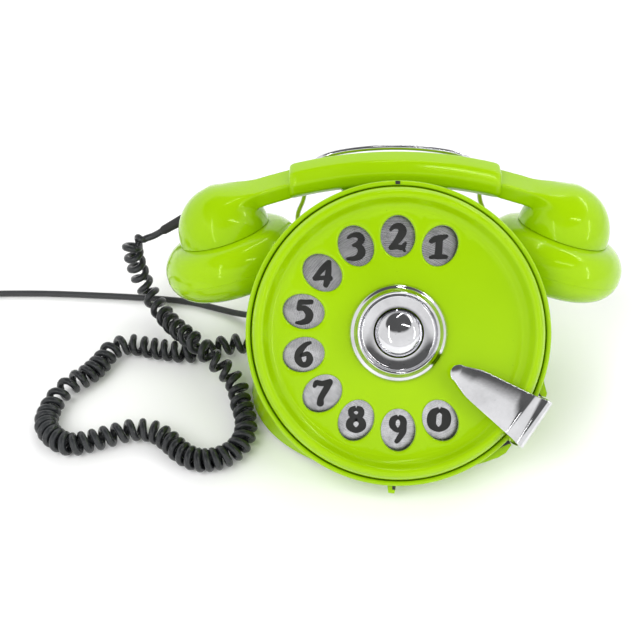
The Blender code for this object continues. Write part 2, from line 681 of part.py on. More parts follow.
# ---- cords ----------------------------------------------------------------------------------
STRAIN_START = Vector((-0.1098, 0.1043, 0.0803))
STRAIN_END = Vector((-0.1388, 0.1050, 0.0607))
CURLY_START = Vector((-0.1570, 0.1032, 0.0520))
CURLY_ROUTE = [
    (-0.1570, 0.1032, 0.0520), (-0.1580, 0.1026, 0.0420), (-0.1572, 0.1026, 0.0320),
    (-0.1552, 0.1015, 0.0230), (-0.1505, 0.0970, 0.0155), (-0.1424, 0.0854, 0.0117),
    (-0.1331, 0.0702, 0.0145), (-0.1200, 0.0520, 0.0210), (-0.1110, 0.0420, 0.0215),
    (-0.1025, 0.0360, 0.0165), (-0.0950, 0.0305, 0.0110), (-0.0906, 0.0235, 0.0082),
    (-0.0888, 0.0150, 0.0072), (-0.0862, 0.0070, 0.0072), (-0.0843, -0.0020, 0.0072),
    (-0.0848, -0.0115, 0.0072), (-0.0878, -0.0190, 0.0072), (-0.0937, -0.0250, 0.0072),
    (-0.1020, -0.0282, 0.0072), (-0.1105, -0.0280, 0.0072), (-0.1190, -0.0230, 0.0072),
    (-0.1280, -0.0140, 0.0072), (-0.1370, -0.0080, 0.0072), (-0.1480, -0.0070, 0.0072),
    (-0.1600, -0.0110, 0.0072), (-0.1710, -0.0150, 0.0072), (-0.1820, -0.0175, 0.0072),
    (-0.1915, -0.0130, 0.0072), (-0.1985, -0.0035, 0.0072), (-0.1985, 0.0080, 0.0072),
    (-0.1955, 0.0190, 0.0072), (-0.1895, 0.0285, 0.0072), (-0.1810, 0.0360, 0.0072),
    (-0.1750, 0.0450, 0.0072), (-0.1700, 0.0560, 0.0072), (-0.1610, 0.0610, 0.0072),
    (-0.1490, 0.0585, 0.0072), (-0.1370, 0.0560, 0.0072), (-0.1240, 0.0540, 0.0072),
    (-0.1120, 0.0560, 0.0072), (-0.1000, 0.0598, 0.0078), (-0.0890, 0.0606, 0.0086),
]
LEAD_OFFSET = Vector((0.0012, 0.0002, 0.0028))
CURLY_GROMMET = Vector((-0.0740, 0.0606, 0.0107))
CURLY_GROMMET_LENGTH = 0.0070
LINE_GROMMET = Vector((-0.0583, 0.0770, 0.0105))
LINE_AIM = Vector((-0.034, 0.010, 0)).normalized()
LINE_ROUTE = [
    (-0.0703, 0.0806, 0.0105), (-0.0790, 0.0838, 0.0088), (-0.0900, 0.0893, 0.0050),
    (-0.1010, 0.0945, 0.0026), (-0.1120, 0.0990, 0.0022), (-0.1320, 0.1050, 0.0022),
    (-0.1630, 0.1085, 0.0022), (-0.1900, 0.1105, 0.0022), (-0.2170, 0.1120, 0.0022),
    (-0.2400, 0.1124, 0.0022), (-0.2620, 0.1118, 0.0023), (-0.2800, 0.1098, 0.0026),
]
COIL_CENTRE = Vector((-0.2920, 0.0770, 0.0))
COIL_SECTION = (0.0160, 0.0305, 0.0003, 0.0123)
COIL_EDGE = 0.003
TAIL_ROUTE = [
    (-0.2890, 0.0441, 0.0026), (-0.2850, 0.0426, 0.0024), (-0.2790, 0.0405, 0.0022),
    (-0.2730, 0.0340, 0.0026), (-0.2722, 0.0260, 0.0060), (-0.2740, 0.0190, 0.0100),
    (-0.2760, 0.0120, 0.0120),
]
PLUG_NOSE = Vector((-0.2765, 0.0100, 0.0120))
PLUG_AIM = math.radians(-104)


def build_cord_ends(left_shell):
    """The moulded sleeve on the handset and the two grommets in the housing wall."""
    cylinder("handset_strain_relief", STRAIN_START, STRAIN_END, 0.0036, "black_pvc", BODY, sides=20,
             end_radius=0.0027)
    along = (STRAIN_END - STRAIN_START).normalized()
    inner = STRAIN_START - along * 0.006
    outer = STRAIN_START + along * 0.018
    bore = cylinder("strain_relief_bore_cutter", inner, outer, 0.0040, "steel", BODY, sides=20)
    boolean(left_shell, bore)
    sleeve = [(0, CURLY_GROMMET_LENGTH), (0.0036, CURLY_GROMMET_LENGTH), (0.0050, 0.0010), (0.0050, -0.0080),
              (0, -0.0080)]
    turned("handset_cord_grommet", sleeve, "rubber", BODY, steps=20, location=CURLY_GROMMET,
           rotation=(0, -math.pi / 2, 0))
    relief = [(0, 0.0120), (0.0030, 0.0120), (0.0045, 0.0030), (0.0045, -0.0080), (0, -0.0080)]
    turn = Vector((0, 0, 1)).rotation_difference(LINE_AIM).to_euler()
    turned("line_cord_grommet", relief, "rubber", BODY, steps=20, location=LINE_GROMMET, rotation=turn)


def build_curly_cord():
    points = [Vector(point) for point in CURLY_ROUTE]
    tube("handset_cord", smooth_route(points, 0.0100), CURLY_RADIUS, "black_pvc", BODY)
    along = (STRAIN_END - STRAIN_START).normalized()
    lead = [STRAIN_END + along * GAP, STRAIN_END + along * 0.006, CURLY_START + LEAD_OFFSET]
    tube("handset_cord_lead", smooth_route(lead, 0.004), LEAD_RADIUS, "black_pvc", BODY)
    inward = (points[-1] - points[-2]).normalized()
    face = CURLY_GROMMET - Vector((CURLY_GROMMET_LENGTH + GAP, 0, 0))
    before_face = face - Vector((0.0020, 0, 0))
    tail = [points[-1] + inward * (GAP + 0.0002), points[-1] + inward * 0.0025, before_face, face]
    tube("handset_cord_tail", tail, LEAD_RADIUS, "black_pvc", BODY)


def build_line_cord():
    points = [Vector(point) for point in LINE_ROUTE]
    tube("line_cord", smooth_route(points, 0.010), LINE_RADIUS, "grey_pvc", BODY)
    inner, outer, low, high = COIL_SECTION
    edge = COIL_EDGE
    profile = [
        (inner + edge, high), (outer - edge, high), (outer, high - edge), (outer, low + edge),
        (outer - edge, low), (inner + edge, low), (inner, low + edge), (inner, high - edge),
    ]
    turned("line_cord_coil", profile, "grey_pvc", BODY, steps=32, closed=True, location=COIL_CENTRE)
    tail = [Vector(point) for point in TAIL_ROUTE]
    tube("line_cord_tail", smooth_route(tail, 0.008), LINE_RADIUS, "grey_pvc", BODY)


def build_plug():
    """A moulded three-pin telephone plug: a round-ended body, a tapered tail and three pins."""
    frame = new_empty("plug_frame", PLUG_NOSE, (0, 0, PLUG_AIM), BODY)
    sections = [(0.0, 0.0066, 0.0066), (0.010, 0.0084, 0.0078), (0.0150, 0.0180, 0.0120),
                (0.0200, 0.0260, 0.0160), (0.0330, 0.0290, 0.0180), (0.0400, 0.0290, 0.0180)]
    rings = []
    for x, width, height in sections:
        section = rounded_section(width, height, min(width, height) * 0.42)
        rings.append([Vector((x, across, up)) for across, up in section])
    loft("plug_body", rings, "grey_pvc", frame)
    for index, (across, up) in enumerate(((-0.0075, -0.0025), (0.0075, -0.0025), (0.0, 0.0040))):
        start = Vector((0.0403, across, up))
        end = start + Vector((0.0150, 0, 0))
        cylinder("plug_pin_%d" % (index + 1), start, end, 0.0018, "brass", frame, sides=14)


def main():
    shell = build_shell()
    build_bezel()
    build_base_plate()
    build_pads()
    build_wheel()
    build_hub()
    build_dial_fixed()
    build_dial_train()
    build_finger_stop()
    build_cradle()
    build_hook()
    build_handle()
    build_ringer()
    build_electrics()
    left_shell = build_handset()
    build_cord_ends(left_shell)
    cut_shell(shell)
    build_curly_cord()
    build_line_cord()
    build_plug()


main()
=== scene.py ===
"""Looks of the corded landline phone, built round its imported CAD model.

Metres, in the model's own frame: the phone faces -Y and stands on z = 0.
"""
import math

import bmesh
import bpy
import numpy as np
from mathutils import Matrix, Vector


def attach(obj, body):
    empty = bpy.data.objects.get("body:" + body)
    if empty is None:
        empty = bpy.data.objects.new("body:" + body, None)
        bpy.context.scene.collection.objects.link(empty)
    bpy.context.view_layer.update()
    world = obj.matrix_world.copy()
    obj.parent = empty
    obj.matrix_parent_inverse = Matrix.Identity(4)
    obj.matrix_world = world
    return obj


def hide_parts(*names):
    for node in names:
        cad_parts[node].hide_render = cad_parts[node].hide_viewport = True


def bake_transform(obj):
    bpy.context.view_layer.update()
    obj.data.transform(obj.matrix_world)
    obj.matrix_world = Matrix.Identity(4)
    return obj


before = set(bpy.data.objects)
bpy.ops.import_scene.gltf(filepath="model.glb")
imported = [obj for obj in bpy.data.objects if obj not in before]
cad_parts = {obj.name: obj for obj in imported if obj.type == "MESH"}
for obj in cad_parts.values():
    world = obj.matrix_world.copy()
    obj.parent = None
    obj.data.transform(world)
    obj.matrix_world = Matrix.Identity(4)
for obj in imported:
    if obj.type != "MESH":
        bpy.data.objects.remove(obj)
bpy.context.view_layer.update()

# ---- frames --------------------------------------------------------------------------------
DIAL_TILT = math.radians(45)
BODY_SHIFT = Vector((0, -0.0323, 0))
BODY = Matrix.Translation(BODY_SHIFT)
DIAL_CENTRE = Vector((0, -0.0323, 0.078))
DIAL = Matrix.Translation(DIAL_CENTRE) @ Matrix.Rotation(math.pi / 2 - DIAL_TILT, 4, "X")
STOP_ANGLE = math.radians(-34)
STOP = DIAL @ Matrix.Rotation(STOP_ANGLE, 4, "Z")
HANDSET = Matrix.Translation((0, 0.0597, 0.116)) @ Matrix.Rotation(math.radians(-4), 4, "X")
CUP_PLACE = Vector((0.0978, -0.0052, -0.0393))
CUP_LEAN = math.radians(-17.5)
CUP_TILT = math.radians(16.2)

# ---- dimensions ----------------------------------------------------------------------------
GAP = 0.0003
SHAFT_RADIUS = 0.004
HOLE_COUNT = 10
HOLE_SECTORS = 14
HOLE_STEP = 2 * math.pi / HOLE_SECTORS
FIRST_HOLE_ANGLE = math.radians(64.3)
HOLE_PITCH_RADIUS = 0.0515
HOLE_HALF_RADIAL = 0.0112
HOLE_HALF_TANGENTIAL = 0.0092
WHEEL_FACE_Z = -0.007
WHEEL_UNDERSIDE_Z = -0.0095
BEZEL_RADIUS = 0.0813
BEZEL_BOTTOM_Z = -0.0185
NUMBER_PLATE_Z = -0.0158

WALL = 0.0025
FOOT_HALF_WIDTH = 0.083
FOOT_HALF_LENGTH = 0.066
FOOT_CENTRE_Y = 0.030
SHELL_BOTTOM_Z = 0.0032
SHELL_PINCH = 0.88

GRIP_HALF_LENGTH = 0.0593
GRIP_ARCH = 0.0082
BULB_RADIUS = 0.0267
BULB_HEIGHT = 0.0277

CURLY_WIRE_RADIUS = 0.0021
CURLY_STEP = 0.0004
CURLY_POINTS_PER_TURN = 26
CURLY_TIGHT = (0.0044, 0.0048)
CURLY_STRETCHED = (0.0105, 0.0043)
LINE_RADIUS = 0.002

PROFILE_STEP = 0.0007

# ---- cord routes, as in the CAD ------------------------------------------------------------
STRAIN_START = Vector((-0.1098, 0.1043, 0.0803))
STRAIN_END = Vector((-0.1388, 0.1050, 0.0607))
CURLY_ROUTE = [
    (-0.1570, 0.1032, 0.0520), (-0.1580, 0.1026, 0.0420), (-0.1572, 0.1026, 0.0320),
    (-0.1552, 0.1015, 0.0230), (-0.1505, 0.0970, 0.0155), (-0.1424, 0.0854, 0.0117),
    (-0.1331, 0.0702, 0.0145), (-0.1200, 0.0520, 0.0210), (-0.1110, 0.0420, 0.0215),
    (-0.1025, 0.0360, 0.0165), (-0.0950, 0.0305, 0.0110), (-0.0906, 0.0235, 0.0082),
    (-0.0888, 0.0150, 0.0072), (-0.0862, 0.0070, 0.0072), (-0.0843, -0.0020, 0.0072),
    (-0.0848, -0.0115, 0.0072), (-0.0878, -0.0190, 0.0072), (-0.0937, -0.0250, 0.0072),
    (-0.1020, -0.0282, 0.0072), (-0.1105, -0.0280, 0.0072), (-0.1190, -0.0230, 0.0072),
    (-0.1280, -0.0140, 0.0072), (-0.1370, -0.0080, 0.0072), (-0.1480, -0.0070, 0.0072),
    (-0.1600, -0.0110, 0.0072), (-0.1710, -0.0150, 0.0072), (-0.1820, -0.0175, 0.0072),
    (-0.1915, -0.0130, 0.0072), (-0.1985, -0.0035, 0.0072), (-0.1985, 0.0080, 0.0072),
    (-0.1955, 0.0190, 0.0072), (-0.1895, 0.0285, 0.0072), (-0.1810, 0.0360, 0.0072),
    (-0.1750, 0.0450, 0.0072), (-0.1700, 0.0560, 0.0072), (-0.1610, 0.0610, 0.0072),
    (-0.1490, 0.0585, 0.0072), (-0.1370, 0.0560, 0.0072), (-0.1240, 0.0540, 0.0072),
    (-0.1120, 0.0560, 0.0072), (-0.1000, 0.0598, 0.0078), (-0.0890, 0.0606, 0.0086),
]
CURLY_PITCHES = [
    (0.020, 0.0080), (0.047, 0.0090), (0.087, 0.0105), (0.142, 0.0075), (0.171, 0.0070), (0.205, 0.0044),
    (0.260, 0.0075), (0.299, 0.0050), (0.320, 0.0043), (0.341, 0.0095), (0.364, 0.0044), (0.383, 0.0080),
    (0.415, 0.0062), (0.455, 0.0085),
]
CURLY_GROMMET = Vector((-0.0740, 0.0606, 0.0107))
CURLY_GROMMET_LENGTH = 0.0070
LINE_ROUTE = [
    (-0.0703, 0.0806, 0.0105), (-0.0790, 0.0838, 0.0088), (-0.0900, 0.0893, 0.0050),
    (-0.1010, 0.0945, 0.0026), (-0.1120, 0.0990, 0.0022), (-0.1320, 0.1050, 0.0022),
    (-0.1630, 0.1085, 0.0022), (-0.1900, 0.1105, 0.0022), (-0.2170, 0.1120, 0.0022),
    (-0.2400, 0.1124, 0.0022), (-0.2620, 0.1118, 0.0023), (-0.2800, 0.1098, 0.0026),
]
COIL_CENTRE = Vector((-0.2920, 0.0770, 0.0))
COIL_COLUMNS = (0.0285, 0.0243, 0.0201)
COIL_FLOOR = 0.0026
COIL_STACK = 0.0041
TAIL_ROUTE = [
    (-0.2850, 0.0426, 0.0024), (-0.2790, 0.0405, 0.0022), (-0.2730, 0.0340, 0.0026),
    (-0.2722, 0.0260, 0.0060), (-0.2740, 0.0190, 0.0100), (-0.2760, 0.0120, 0.0120),
]
PLUG_NOSE = Vector((-0.2765, 0.0100, 0.0120))
PLUG_AIM = math.radians(-104)


# ---- mesh helpers --------------------------------------------------------------------------
def in_body_frame(points):
    return [BODY @ Vector(point) for point in points]


def smooth_route(points, spacing):
    """Evenly spaced points on a Catmull-Rom curve through given route points."""
    ends = [points[0] * 2 - points[1]] + list(points) + [points[-1] * 2 - points[-2]]
    dense = []
    for index in range(1, len(ends) - 2):
        before, start, end, after = ends[index - 1:index + 3]
        for step in range(24):
            t = step / 24
            bend = (end - before) * t
            curve = (before * 2 - start * 5 + end * 4 - after) * t * t
            twist = (start * 3 - end * 3 + after - before) * t * t * t
            dense.append((start * 2 + bend + curve + twist) / 2)
    dense.append(points[-1].copy())
    total = path_length(dense)
    pieces = max(2, round(total / spacing))
    wanted = [total * index / pieces for index in range(pieces + 1)]
    result = []
    travelled = 0.0
    for first, second in zip(dense, dense[1:]):
        length = (second - first).length
        while wanted and wanted[0] <= travelled + length + 1e-9:
            result.append(first.lerp(second, min(1.0, (wanted.pop(0) - travelled) / length)))
        travelled += length
    if wanted:
        result.append(dense[-1])
    return result


def path_length(points):
    return sum((second - first).length for first, second in zip(points, points[1:]))


def ease(value):
    """0 before 0, 1 after 1, and a smooth step between."""
    value = min(1.0, max(0.0, value))
    return value * value * (3 - 2 * value)


def skin(rings, loop=False, capped=False):
    """Vertices and faces over rings of points. A ring of one point is a pole."""
    vertices = [tuple(point) for ring in rings for point in ring]
    starts = [0]
    for ring in rings:
        starts.append(starts[-1] + len(ring))
    pairs = list(zip(range(len(rings) - 1), range(1, len(rings))))
    if loop:
        pairs.append((len(rings) - 1, 0))
    faces = []
    for low, high in pairs:
        low_count = len(rings[low])
        high_count = len(rings[high])
        for index in range(max(low_count, high_count)):
            corners = [
                starts[low] + index % low_count, starts[low] + (index + 1) % low_count,
                starts[high] + (index + 1) % high_count, starts[high] + index % high_count,
            ]
            faces.append(list(dict.fromkeys(corners)))
    if capped:
        faces.append(list(range(starts[1]))[::-1])
        faces.append(list(range(starts[-2], starts[-1])))
    return vertices, [face for face in faces if len(face) > 2]


def new_piece(name, shape, mat, place=Matrix.Identity(4), sharp=38):
    """A smooth-shaded mesh object from vertices and faces."""
    vertices, faces = shape
    data = bpy.data.meshes.new(name)
    data.from_pydata(vertices, [], faces)
    bm = bmesh.new()
    bm.from_mesh(data)
    bmesh.ops.recalc_face_normals(bm, faces=bm.faces)
    bm.to_mesh(data)
    bm.free()
    data.shade_smooth()
    data.set_sharp_from_angle(angle=math.radians(sharp))
    data.materials.append(mat)
    piece = bpy.data.objects.new(name, data)
    bpy.context.scene.collection.objects.link(piece)
    piece.matrix_world = place
    return piece


def turned(name, runs, mat, place=Matrix.Identity(4), steps=96, closed=False):
    """Runs of (radius, z) points turned round +Z: two points are straight, more are a smooth curve."""
    profile = [runs[0][0]]
    for run in runs:
        if len(run) == 2:
            profile.append(run[1])
            continue
        points = smooth_route([Vector((radius, 0, z)) for radius, z in run], PROFILE_STEP)
        profile += [(point.x, point.z) for point in points[1:]]
    if closed:
        profile.pop()
    rings = []
    for radius, z in profile:
        if radius < 1e-6:
            rings.append([(0, 0, z)])
            continue
        angles = [2 * math.pi * index / steps for index in range(steps)]
        rings.append([(radius * math.cos(angle), radius * math.sin(angle), z) for angle in angles])
    return new_piece(name, skin(rings, loop=closed), mat, place)


def swept(points, radii, sides=12):
    """Rings round a path, turned as little as possible from one to the next."""
    rings = []
    across = None
    for index, point in enumerate(points):
        ahead = points[min(index + 1, len(points) - 1)]
        behind = points[max(index - 1, 0)]
        along = (ahead - behind).normalized()
        if across is None:
            across = along.orthogonal().normalized()
        across = (across - along * across.dot(along)).normalized()
        upward = along.cross(across)
        radius = radii[index] if isinstance(radii, (list, tuple)) else radii
        ring = []
        for side in range(sides):
            angle = 2 * math.pi * side / sides
            ring.append(point + (across * math.cos(angle) + upward * math.sin(angle)) * radius)
        rings.append(ring)
    return rings


def rounded_section(width, height, radius, corner_points=4):
    """A rounded rectangle as (across, up) points, counter-clockwise."""
    points = []
    for quarter in range(4):
        side_x = 1 if quarter in (0, 3) else -1
        side_z = 1 if quarter in (0, 1) else -1
        for step in range(corner_points + 1):
            angle = math.pi / 2 * (quarter + step / corner_points)
            across = side_x * (width / 2 - radius) + radius * math.cos(angle)
            up = side_z * (height / 2 - radius) + radius * math.sin(angle)
            points.append((across, up))
    return points


def pulled(field, points, rounds=3):
    """Points moved along the field's slope onto its zero surface."""
    small = 1e-5
    for _ in range(rounds):
        slope = np.empty_like(points)
        for axis in range(3):
            shift = np.zeros(3)
            shift[axis] = small
            slope[:, axis] = (field(points + shift) - field(points - shift)) / (2 * small)
        steep = np.maximum((slope ** 2).sum(axis=1), 0.05)
        points = points - slope * (field(points) / steep)[:, None]
    return points


def surface_net(field, low, high, cell, relaxing=3):
    """Vertices and quads on the zero surface of a distance field, evened out and pulled onto it."""
    low = np.array(low, float)
    counts = np.ceil((np.array(high) - low) / cell).astype(int) + 1
    lines = [low[axis] + cell * np.arange(counts[axis]) for axis in range(3)]
    inside = field(np.stack(np.meshgrid(*lines, indexing="ij"), axis=-1)) < 0
    corners = sum(
        inside[x:x + counts[0] - 1, y:y + counts[1] - 1, z:z + counts[2] - 1].astype(int)
        for x in (0, 1) for y in (0, 1) for z in (0, 1)
    )
    mixed = (corners > 0) & (corners < 8)
    numbers = np.full(mixed.shape, -1)
    numbers[mixed] = np.arange(mixed.sum())
    points = low + (np.argwhere(mixed) + 0.5) * cell
    quads = []
    for axis in range(3):
        first = np.take(inside, range(counts[axis] - 1), axis)
        second = np.take(inside, range(1, counts[axis]), axis)
        step_u = np.zeros(3, int)
        step_v = np.zeros(3, int)
        step_u[(axis + 1) % 3] = 1
        step_v[(axis + 2) % 3] = 1
        edges = np.argwhere(first != second)
        fits = ((edges - step_u - step_v >= 0).all(axis=1)) & ((edges < np.array(mixed.shape)).all(axis=1))
        for edge in edges[fits]:
            cells = (edge, edge - step_u, edge - step_u - step_v, edge - step_v)
            quads.append([numbers[tuple(cell_index)] for cell_index in cells])
    quads = np.array(quads)
    links = np.concatenate([quads[:, [side, (side + 1) % 4]] for side in range(4)])
    points = pulled(field, points)
    for _ in range(relaxing):
        total = np.zeros_like(points)
        number = np.zeros(len(points))
        for start, end in ((0, 1), (1, 0)):
            np.add.at(total, links[:, start], points[links[:, end]])
            np.add.at(number, links[:, start], 1)
        points = pulled(field, 0.5 * points + 0.5 * total / number[:, None])
    return [tuple(point) for point in points], quads.tolist()


def sliced(shape, planes):
    """The shape cut by planes of (point, outward direction), with each cut filled flat."""
    vertices, faces = shape
    data = bpy.data.meshes.new("slice")
    data.from_pydata(vertices, [], faces)
    bm = bmesh.new()
    bm.from_mesh(data)
    bpy.data.meshes.remove(data)
    for point, outward in planes:
        geometry = bm.verts[:] + bm.edges[:] + bm.faces[:]
        cut = bmesh.ops.bisect_plane(bm, geom=geometry, plane_co=point, plane_no=outward, clear_outer=True)
        rim = [item for item in cut["geom_cut"] if isinstance(item, bmesh.types.BMEdge)]
        bmesh.ops.edgeloop_fill(bm, edges=rim)
    bm.verts.index_update()
    vertices = [tuple(vertex.co) for vertex in bm.verts]
    faces = [[vertex.index for vertex in face.verts] for face in bm.faces]
    bm.free()
    return vertices, faces


# ---- materials -----------------------------------------------------------------------------
def new_shader(name, **sockets):
    """A material with a Principled shader, whose constant values are set on its own sockets."""
    mat = bpy.data.materials.new(name)
    mat.use_nodes = True
    shader = mat.node_tree.nodes["Principled BSDF"]
    for socket, value in sockets.items():
        shader.inputs[socket.replace("_", " ")].default_value = value
    return mat, mat.node_tree, shader


def stretched_place(tree, scale=(1, 1, 1)):
    """Object coordinates, stretched for grain that runs one way."""
    place = tree.nodes.new("ShaderNodeTexCoord")
    mapping = tree.nodes.new("ShaderNodeMapping")
    mapping.inputs["Scale"].default_value = scale
    tree.links.new(place.outputs["Object"], mapping.inputs["Vector"])
    return mapping.outputs["Vector"]


def noise(tree, vector, scale, detail=3.0, roughness=0.5):
    node = tree.nodes.new("ShaderNodeTexNoise")
    node.inputs["Scale"].default_value = scale
    node.inputs["Detail"].default_value = detail
    node.inputs["Roughness"].default_value = roughness
    tree.links.new(vector, node.inputs["Vector"])
    return node.outputs["Fac"]


def ramp(tree, value, stops):
    """Colours by value, from (position, colour) stops."""
    node = tree.nodes.new("ShaderNodeValToRGB")
    elements = node.color_ramp.elements
    while len(elements) < len(stops):
        elements.new(0.5)
    for element, (position, color) in zip(elements, stops):
        element.position = position
        element.color = color
    tree.links.new(value, node.inputs["Fac"])
    return node.outputs["Color"]


def spread(tree, value, low, high):
    """A 0 to 1 value moved to the range from low to high."""
    node = tree.nodes.new("ShaderNodeMapRange")
    node.inputs["From Min"].default_value = 0.3
    node.inputs["From Max"].default_value = 0.7
    node.inputs["To Min"].default_value = low
    node.inputs["To Max"].default_value = high
    tree.links.new(value, node.inputs["Value"])
    return node.outputs["Result"]


def added(tree, first, second, weight=1.0):
    node = tree.nodes.new("ShaderNodeMath")
    node.operation = "MULTIPLY_ADD"
    node.inputs[1].default_value = weight
    tree.links.new(second, node.inputs[0])
    tree.links.new(first, node.inputs[2])
    return node.outputs["Value"]


def mixed_color(tree, share, first, second):
    node = tree.nodes.new("ShaderNodeMix")
    node.data_type = "RGBA"
    tree.links.new(share, node.inputs[0])
    for socket, color in ((node.inputs[6], first), (node.inputs[7], second)):
        if isinstance(color, tuple):
            socket.default_value = color
        else:
            tree.links.new(color, socket)
    return node.outputs[2]


def bumped(tree, shader, height, distance):
    node = tree.nodes.new("ShaderNodeBump")
    node.inputs["Distance"].default_value = distance
    tree.links.new(height, node.inputs["Height"])
    tree.links.new(node.outputs["Normal"], shader.inputs["Normal"])


def grey(value):
    return (value, value, value, 1.0)


def moulded_plastic(name, deep, light, rough=(0.10, 0.20), ripple=0.000006, coat=0.14):
    """Glossy moulded plastic: slow colour drift, fine dust, faint flow ripple and rubbed patches."""
    mat, tree, shader = new_shader(name, Coat_Weight=coat, Coat_Roughness=0.03, Coat_IOR=1.5)
    place = stretched_place(tree)
    drift = ramp(tree, noise(tree, place, 14, 2), [(0.3, deep), (0.7, light)])
    dust = ramp(tree, noise(tree, place, 620, 1), [(0.78, grey(0.0)), (0.83, grey(0.55))])
    shade = tuple(channel * 0.45 for channel in deep[:3]) + (1.0,)
    tree.links.new(mixed_color(tree, dust, drift, shade), shader.inputs["Base Color"])
    shader.inputs["Specular Tint"].default_value = (0.8, 1.0, 0.25, 1.0)
    rubbed = noise(tree, place, 60, 4, 0.6)
    tree.links.new(spread(tree, rubbed, *rough), shader.inputs["Roughness"])
    peel = added(tree, noise(tree, place, 90, 2), noise(tree, place, 900, 1), 0.12)
    bumped(tree, shader, peel, ripple)
    return mat


def bright_metal(name, color, rough, pitting=0.00001, pit_scale=700, tone=0.80):
    """Plated metal: handling smears in its gloss, and specks where the plating has pitted."""
    mat, tree, shader = new_shader(name, Metallic=1.0)
    place = stretched_place(tree)
    worn = tuple(channel * tone for channel in color[:3]) + (1.0,)
    smear = noise(tree, place, 45, 5, 0.6)
    base = ramp(tree, smear, [(0.35, worn), (0.65, color)])
    pits = ramp(tree, noise(tree, place, pit_scale, 2), [(0.70, grey(0.0)), (0.76, grey(0.8))])
    dark = tuple(channel * 0.3 for channel in color[:3]) + (1.0,)
    tree.links.new(mixed_color(tree, pits, base, dark), shader.inputs["Base Color"])
    tree.links.new(spread(tree, smear, *rough), shader.inputs["Roughness"])
    bumped(tree, shader, added(tree, smear, noise(tree, place, pit_scale, 3), 0.6), pitting)
    return mat


def spun_metal(name, color, rough=(0.16, 0.34)):
    """Metal finished on a lathe: fine rings round the piece's own Z axis."""
    mat, tree, shader = new_shader(name, Metallic=1.0)
    place = tree.nodes.new("ShaderNodeTexCoord").outputs["Object"]
    gradient = tree.nodes.new("ShaderNodeVectorMath")
    gradient.operation = "MULTIPLY"
    gradient.inputs[1].default_value = (1, 1, 0)
    tree.links.new(place, gradient.inputs[0])
    length = tree.nodes.new("ShaderNodeVectorMath")
    length.operation = "LENGTH"
    tree.links.new(gradient.outputs["Vector"], length.inputs[0])
    rings = tree.nodes.new("ShaderNodeTexNoise")
    rings.noise_dimensions = "1D"
    rings.inputs["Scale"].default_value = 4200
    rings.inputs["Detail"].default_value = 2
    tree.links.new(length.outputs["Value"], rings.inputs["W"])
    stain = noise(tree, place, 160, 5, 0.65)
    dull = tuple(channel * 0.62 for channel in color[:3]) + (1.0,)
    base = ramp(tree, added(tree, stain, rings.outputs["Fac"], 0.35), [(0.50, dull), (0.80, color)])
    tree.links.new(base, shader.inputs["Base Color"])
    tree.links.new(spread(tree, rings.outputs["Fac"], *rough), shader.inputs["Roughness"])
    bumped(tree, shader, rings.outputs["Fac"], 0.000008)
    return mat


def matte(name, dark, light, rough, grain=400, depth=0.00003):
    """Rubber, ink, board or soft plastic: fine grain in its colour, gloss and height."""
    mat, tree, shader = new_shader(name)
    place = stretched_place(tree)
    fine = noise(tree, place, grain, 4, 0.6)
    slow = noise(tree, place, grain / 12, 2)
    tone = added(tree, slow, fine, 0.5)
    tree.links.new(ramp(tree, tone, [(0.45, dark), (1.0, light)]), shader.inputs["Base Color"])
    tree.links.new(spread(tree, slow, *rough), shader.inputs["Roughness"])
    bumped(tree, shader, fine, depth)
    return mat


LIME = moulded_plastic("lime_plastic", (0.262, 0.465, 0.0008, 1), (0.292, 0.505, 0.001, 1))
CHROME = bright_metal("chrome_plate", (0.78, 0.78, 0.80, 1), (0.04, 0.12))
STEEL = bright_metal("plain_steel", (0.52, 0.53, 0.54, 1), (0.25, 0.45), 0.00003, 300)
BRASS = bright_metal("brass", (0.72, 0.50, 0.20, 1), (0.18, 0.35), 0.00002, 300)
ALUMINIUM = spun_metal("spun_aluminium", (0.76, 0.76, 0.78, 1))
RUBBER = matte("black_rubber", grey(0.008), grey(0.022), (0.55, 0.8))
CURLY_PVC = matte("glossy_black_pvc", (0.010, 0.011, 0.012, 1), (0.022, 0.024, 0.026, 1), (0.16, 0.30),
                  260, 0.00001)
LINE_PVC = matte("dark_grey_pvc", (0.024, 0.025, 0.027, 1), (0.040, 0.041, 0.043, 1), (0.38, 0.55), 300)
PLUG_PVC = matte("grey_plug_plastic", (0.060, 0.060, 0.064, 1), (0.095, 0.095, 0.10, 1), (0.35, 0.50), 350)
# Black ink prints the digits. The same material is also painted shade, as dark sheets in the dial rim's catch
# holes and slits.
INK_AND_PAINTED_SHADE = matte("ink_and_painted_shade", grey(0.010), grey(0.020), (0.35, 0.5), 500, 0.00001)
BOARD = matte("resin_board", (0.22, 0.13, 0.04, 1), (0.34, 0.21, 0.08, 1), (0.4, 0.6), 200)
COPPER = bright_metal("lacquered_copper", (0.62, 0.26, 0.10, 1), (0.2, 0.35), 0.00003, 500)
DARK_PLASTIC = matte("grey_housing_plastic", grey(0.10), grey(0.16), (0.35, 0.5), 300)


def dress_nodes():
    """Every CAD node that stays takes the material of what it is made of."""
    for mat, nodes in {
        LIME: ("cradle_saddle",),
        STEEL: ("base_plate", "dial_plate", "gear_frame", "return_spring", "ringer_frame", "clapper",
                "hook_crossbar", "dial_shaft", "governor_drum"),
        BRASS: ("main_gear", "governor_pinion", "bearing_bush", "gong_left", "gong_right"),
        COPPER: ("ringer_coil_left", "ringer_coil_right", "induction_coil"),
        DARK_PLASTIC: ("hook_switch", "pulse_switch", "terminal_block"),
        BOARD: ("circuit_board",),
        ALUMINIUM: ("capacitor", "transmitter_capsule", "receiver_capsule"),
    }.items():
        for name in nodes:
            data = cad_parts[name].data
            data.materials.clear()
            data.materials.append(mat)


# ---- camera, floor and light ---------------------------------------------------------------
CAMERA_DISTANCE = 0.560
CAMERA_SWING = math.radians(-3.2)
DIAL_RIGHT_OF_MIDDLE = 0.0740
DIAL_BELOW_MIDDLE = 0.0122

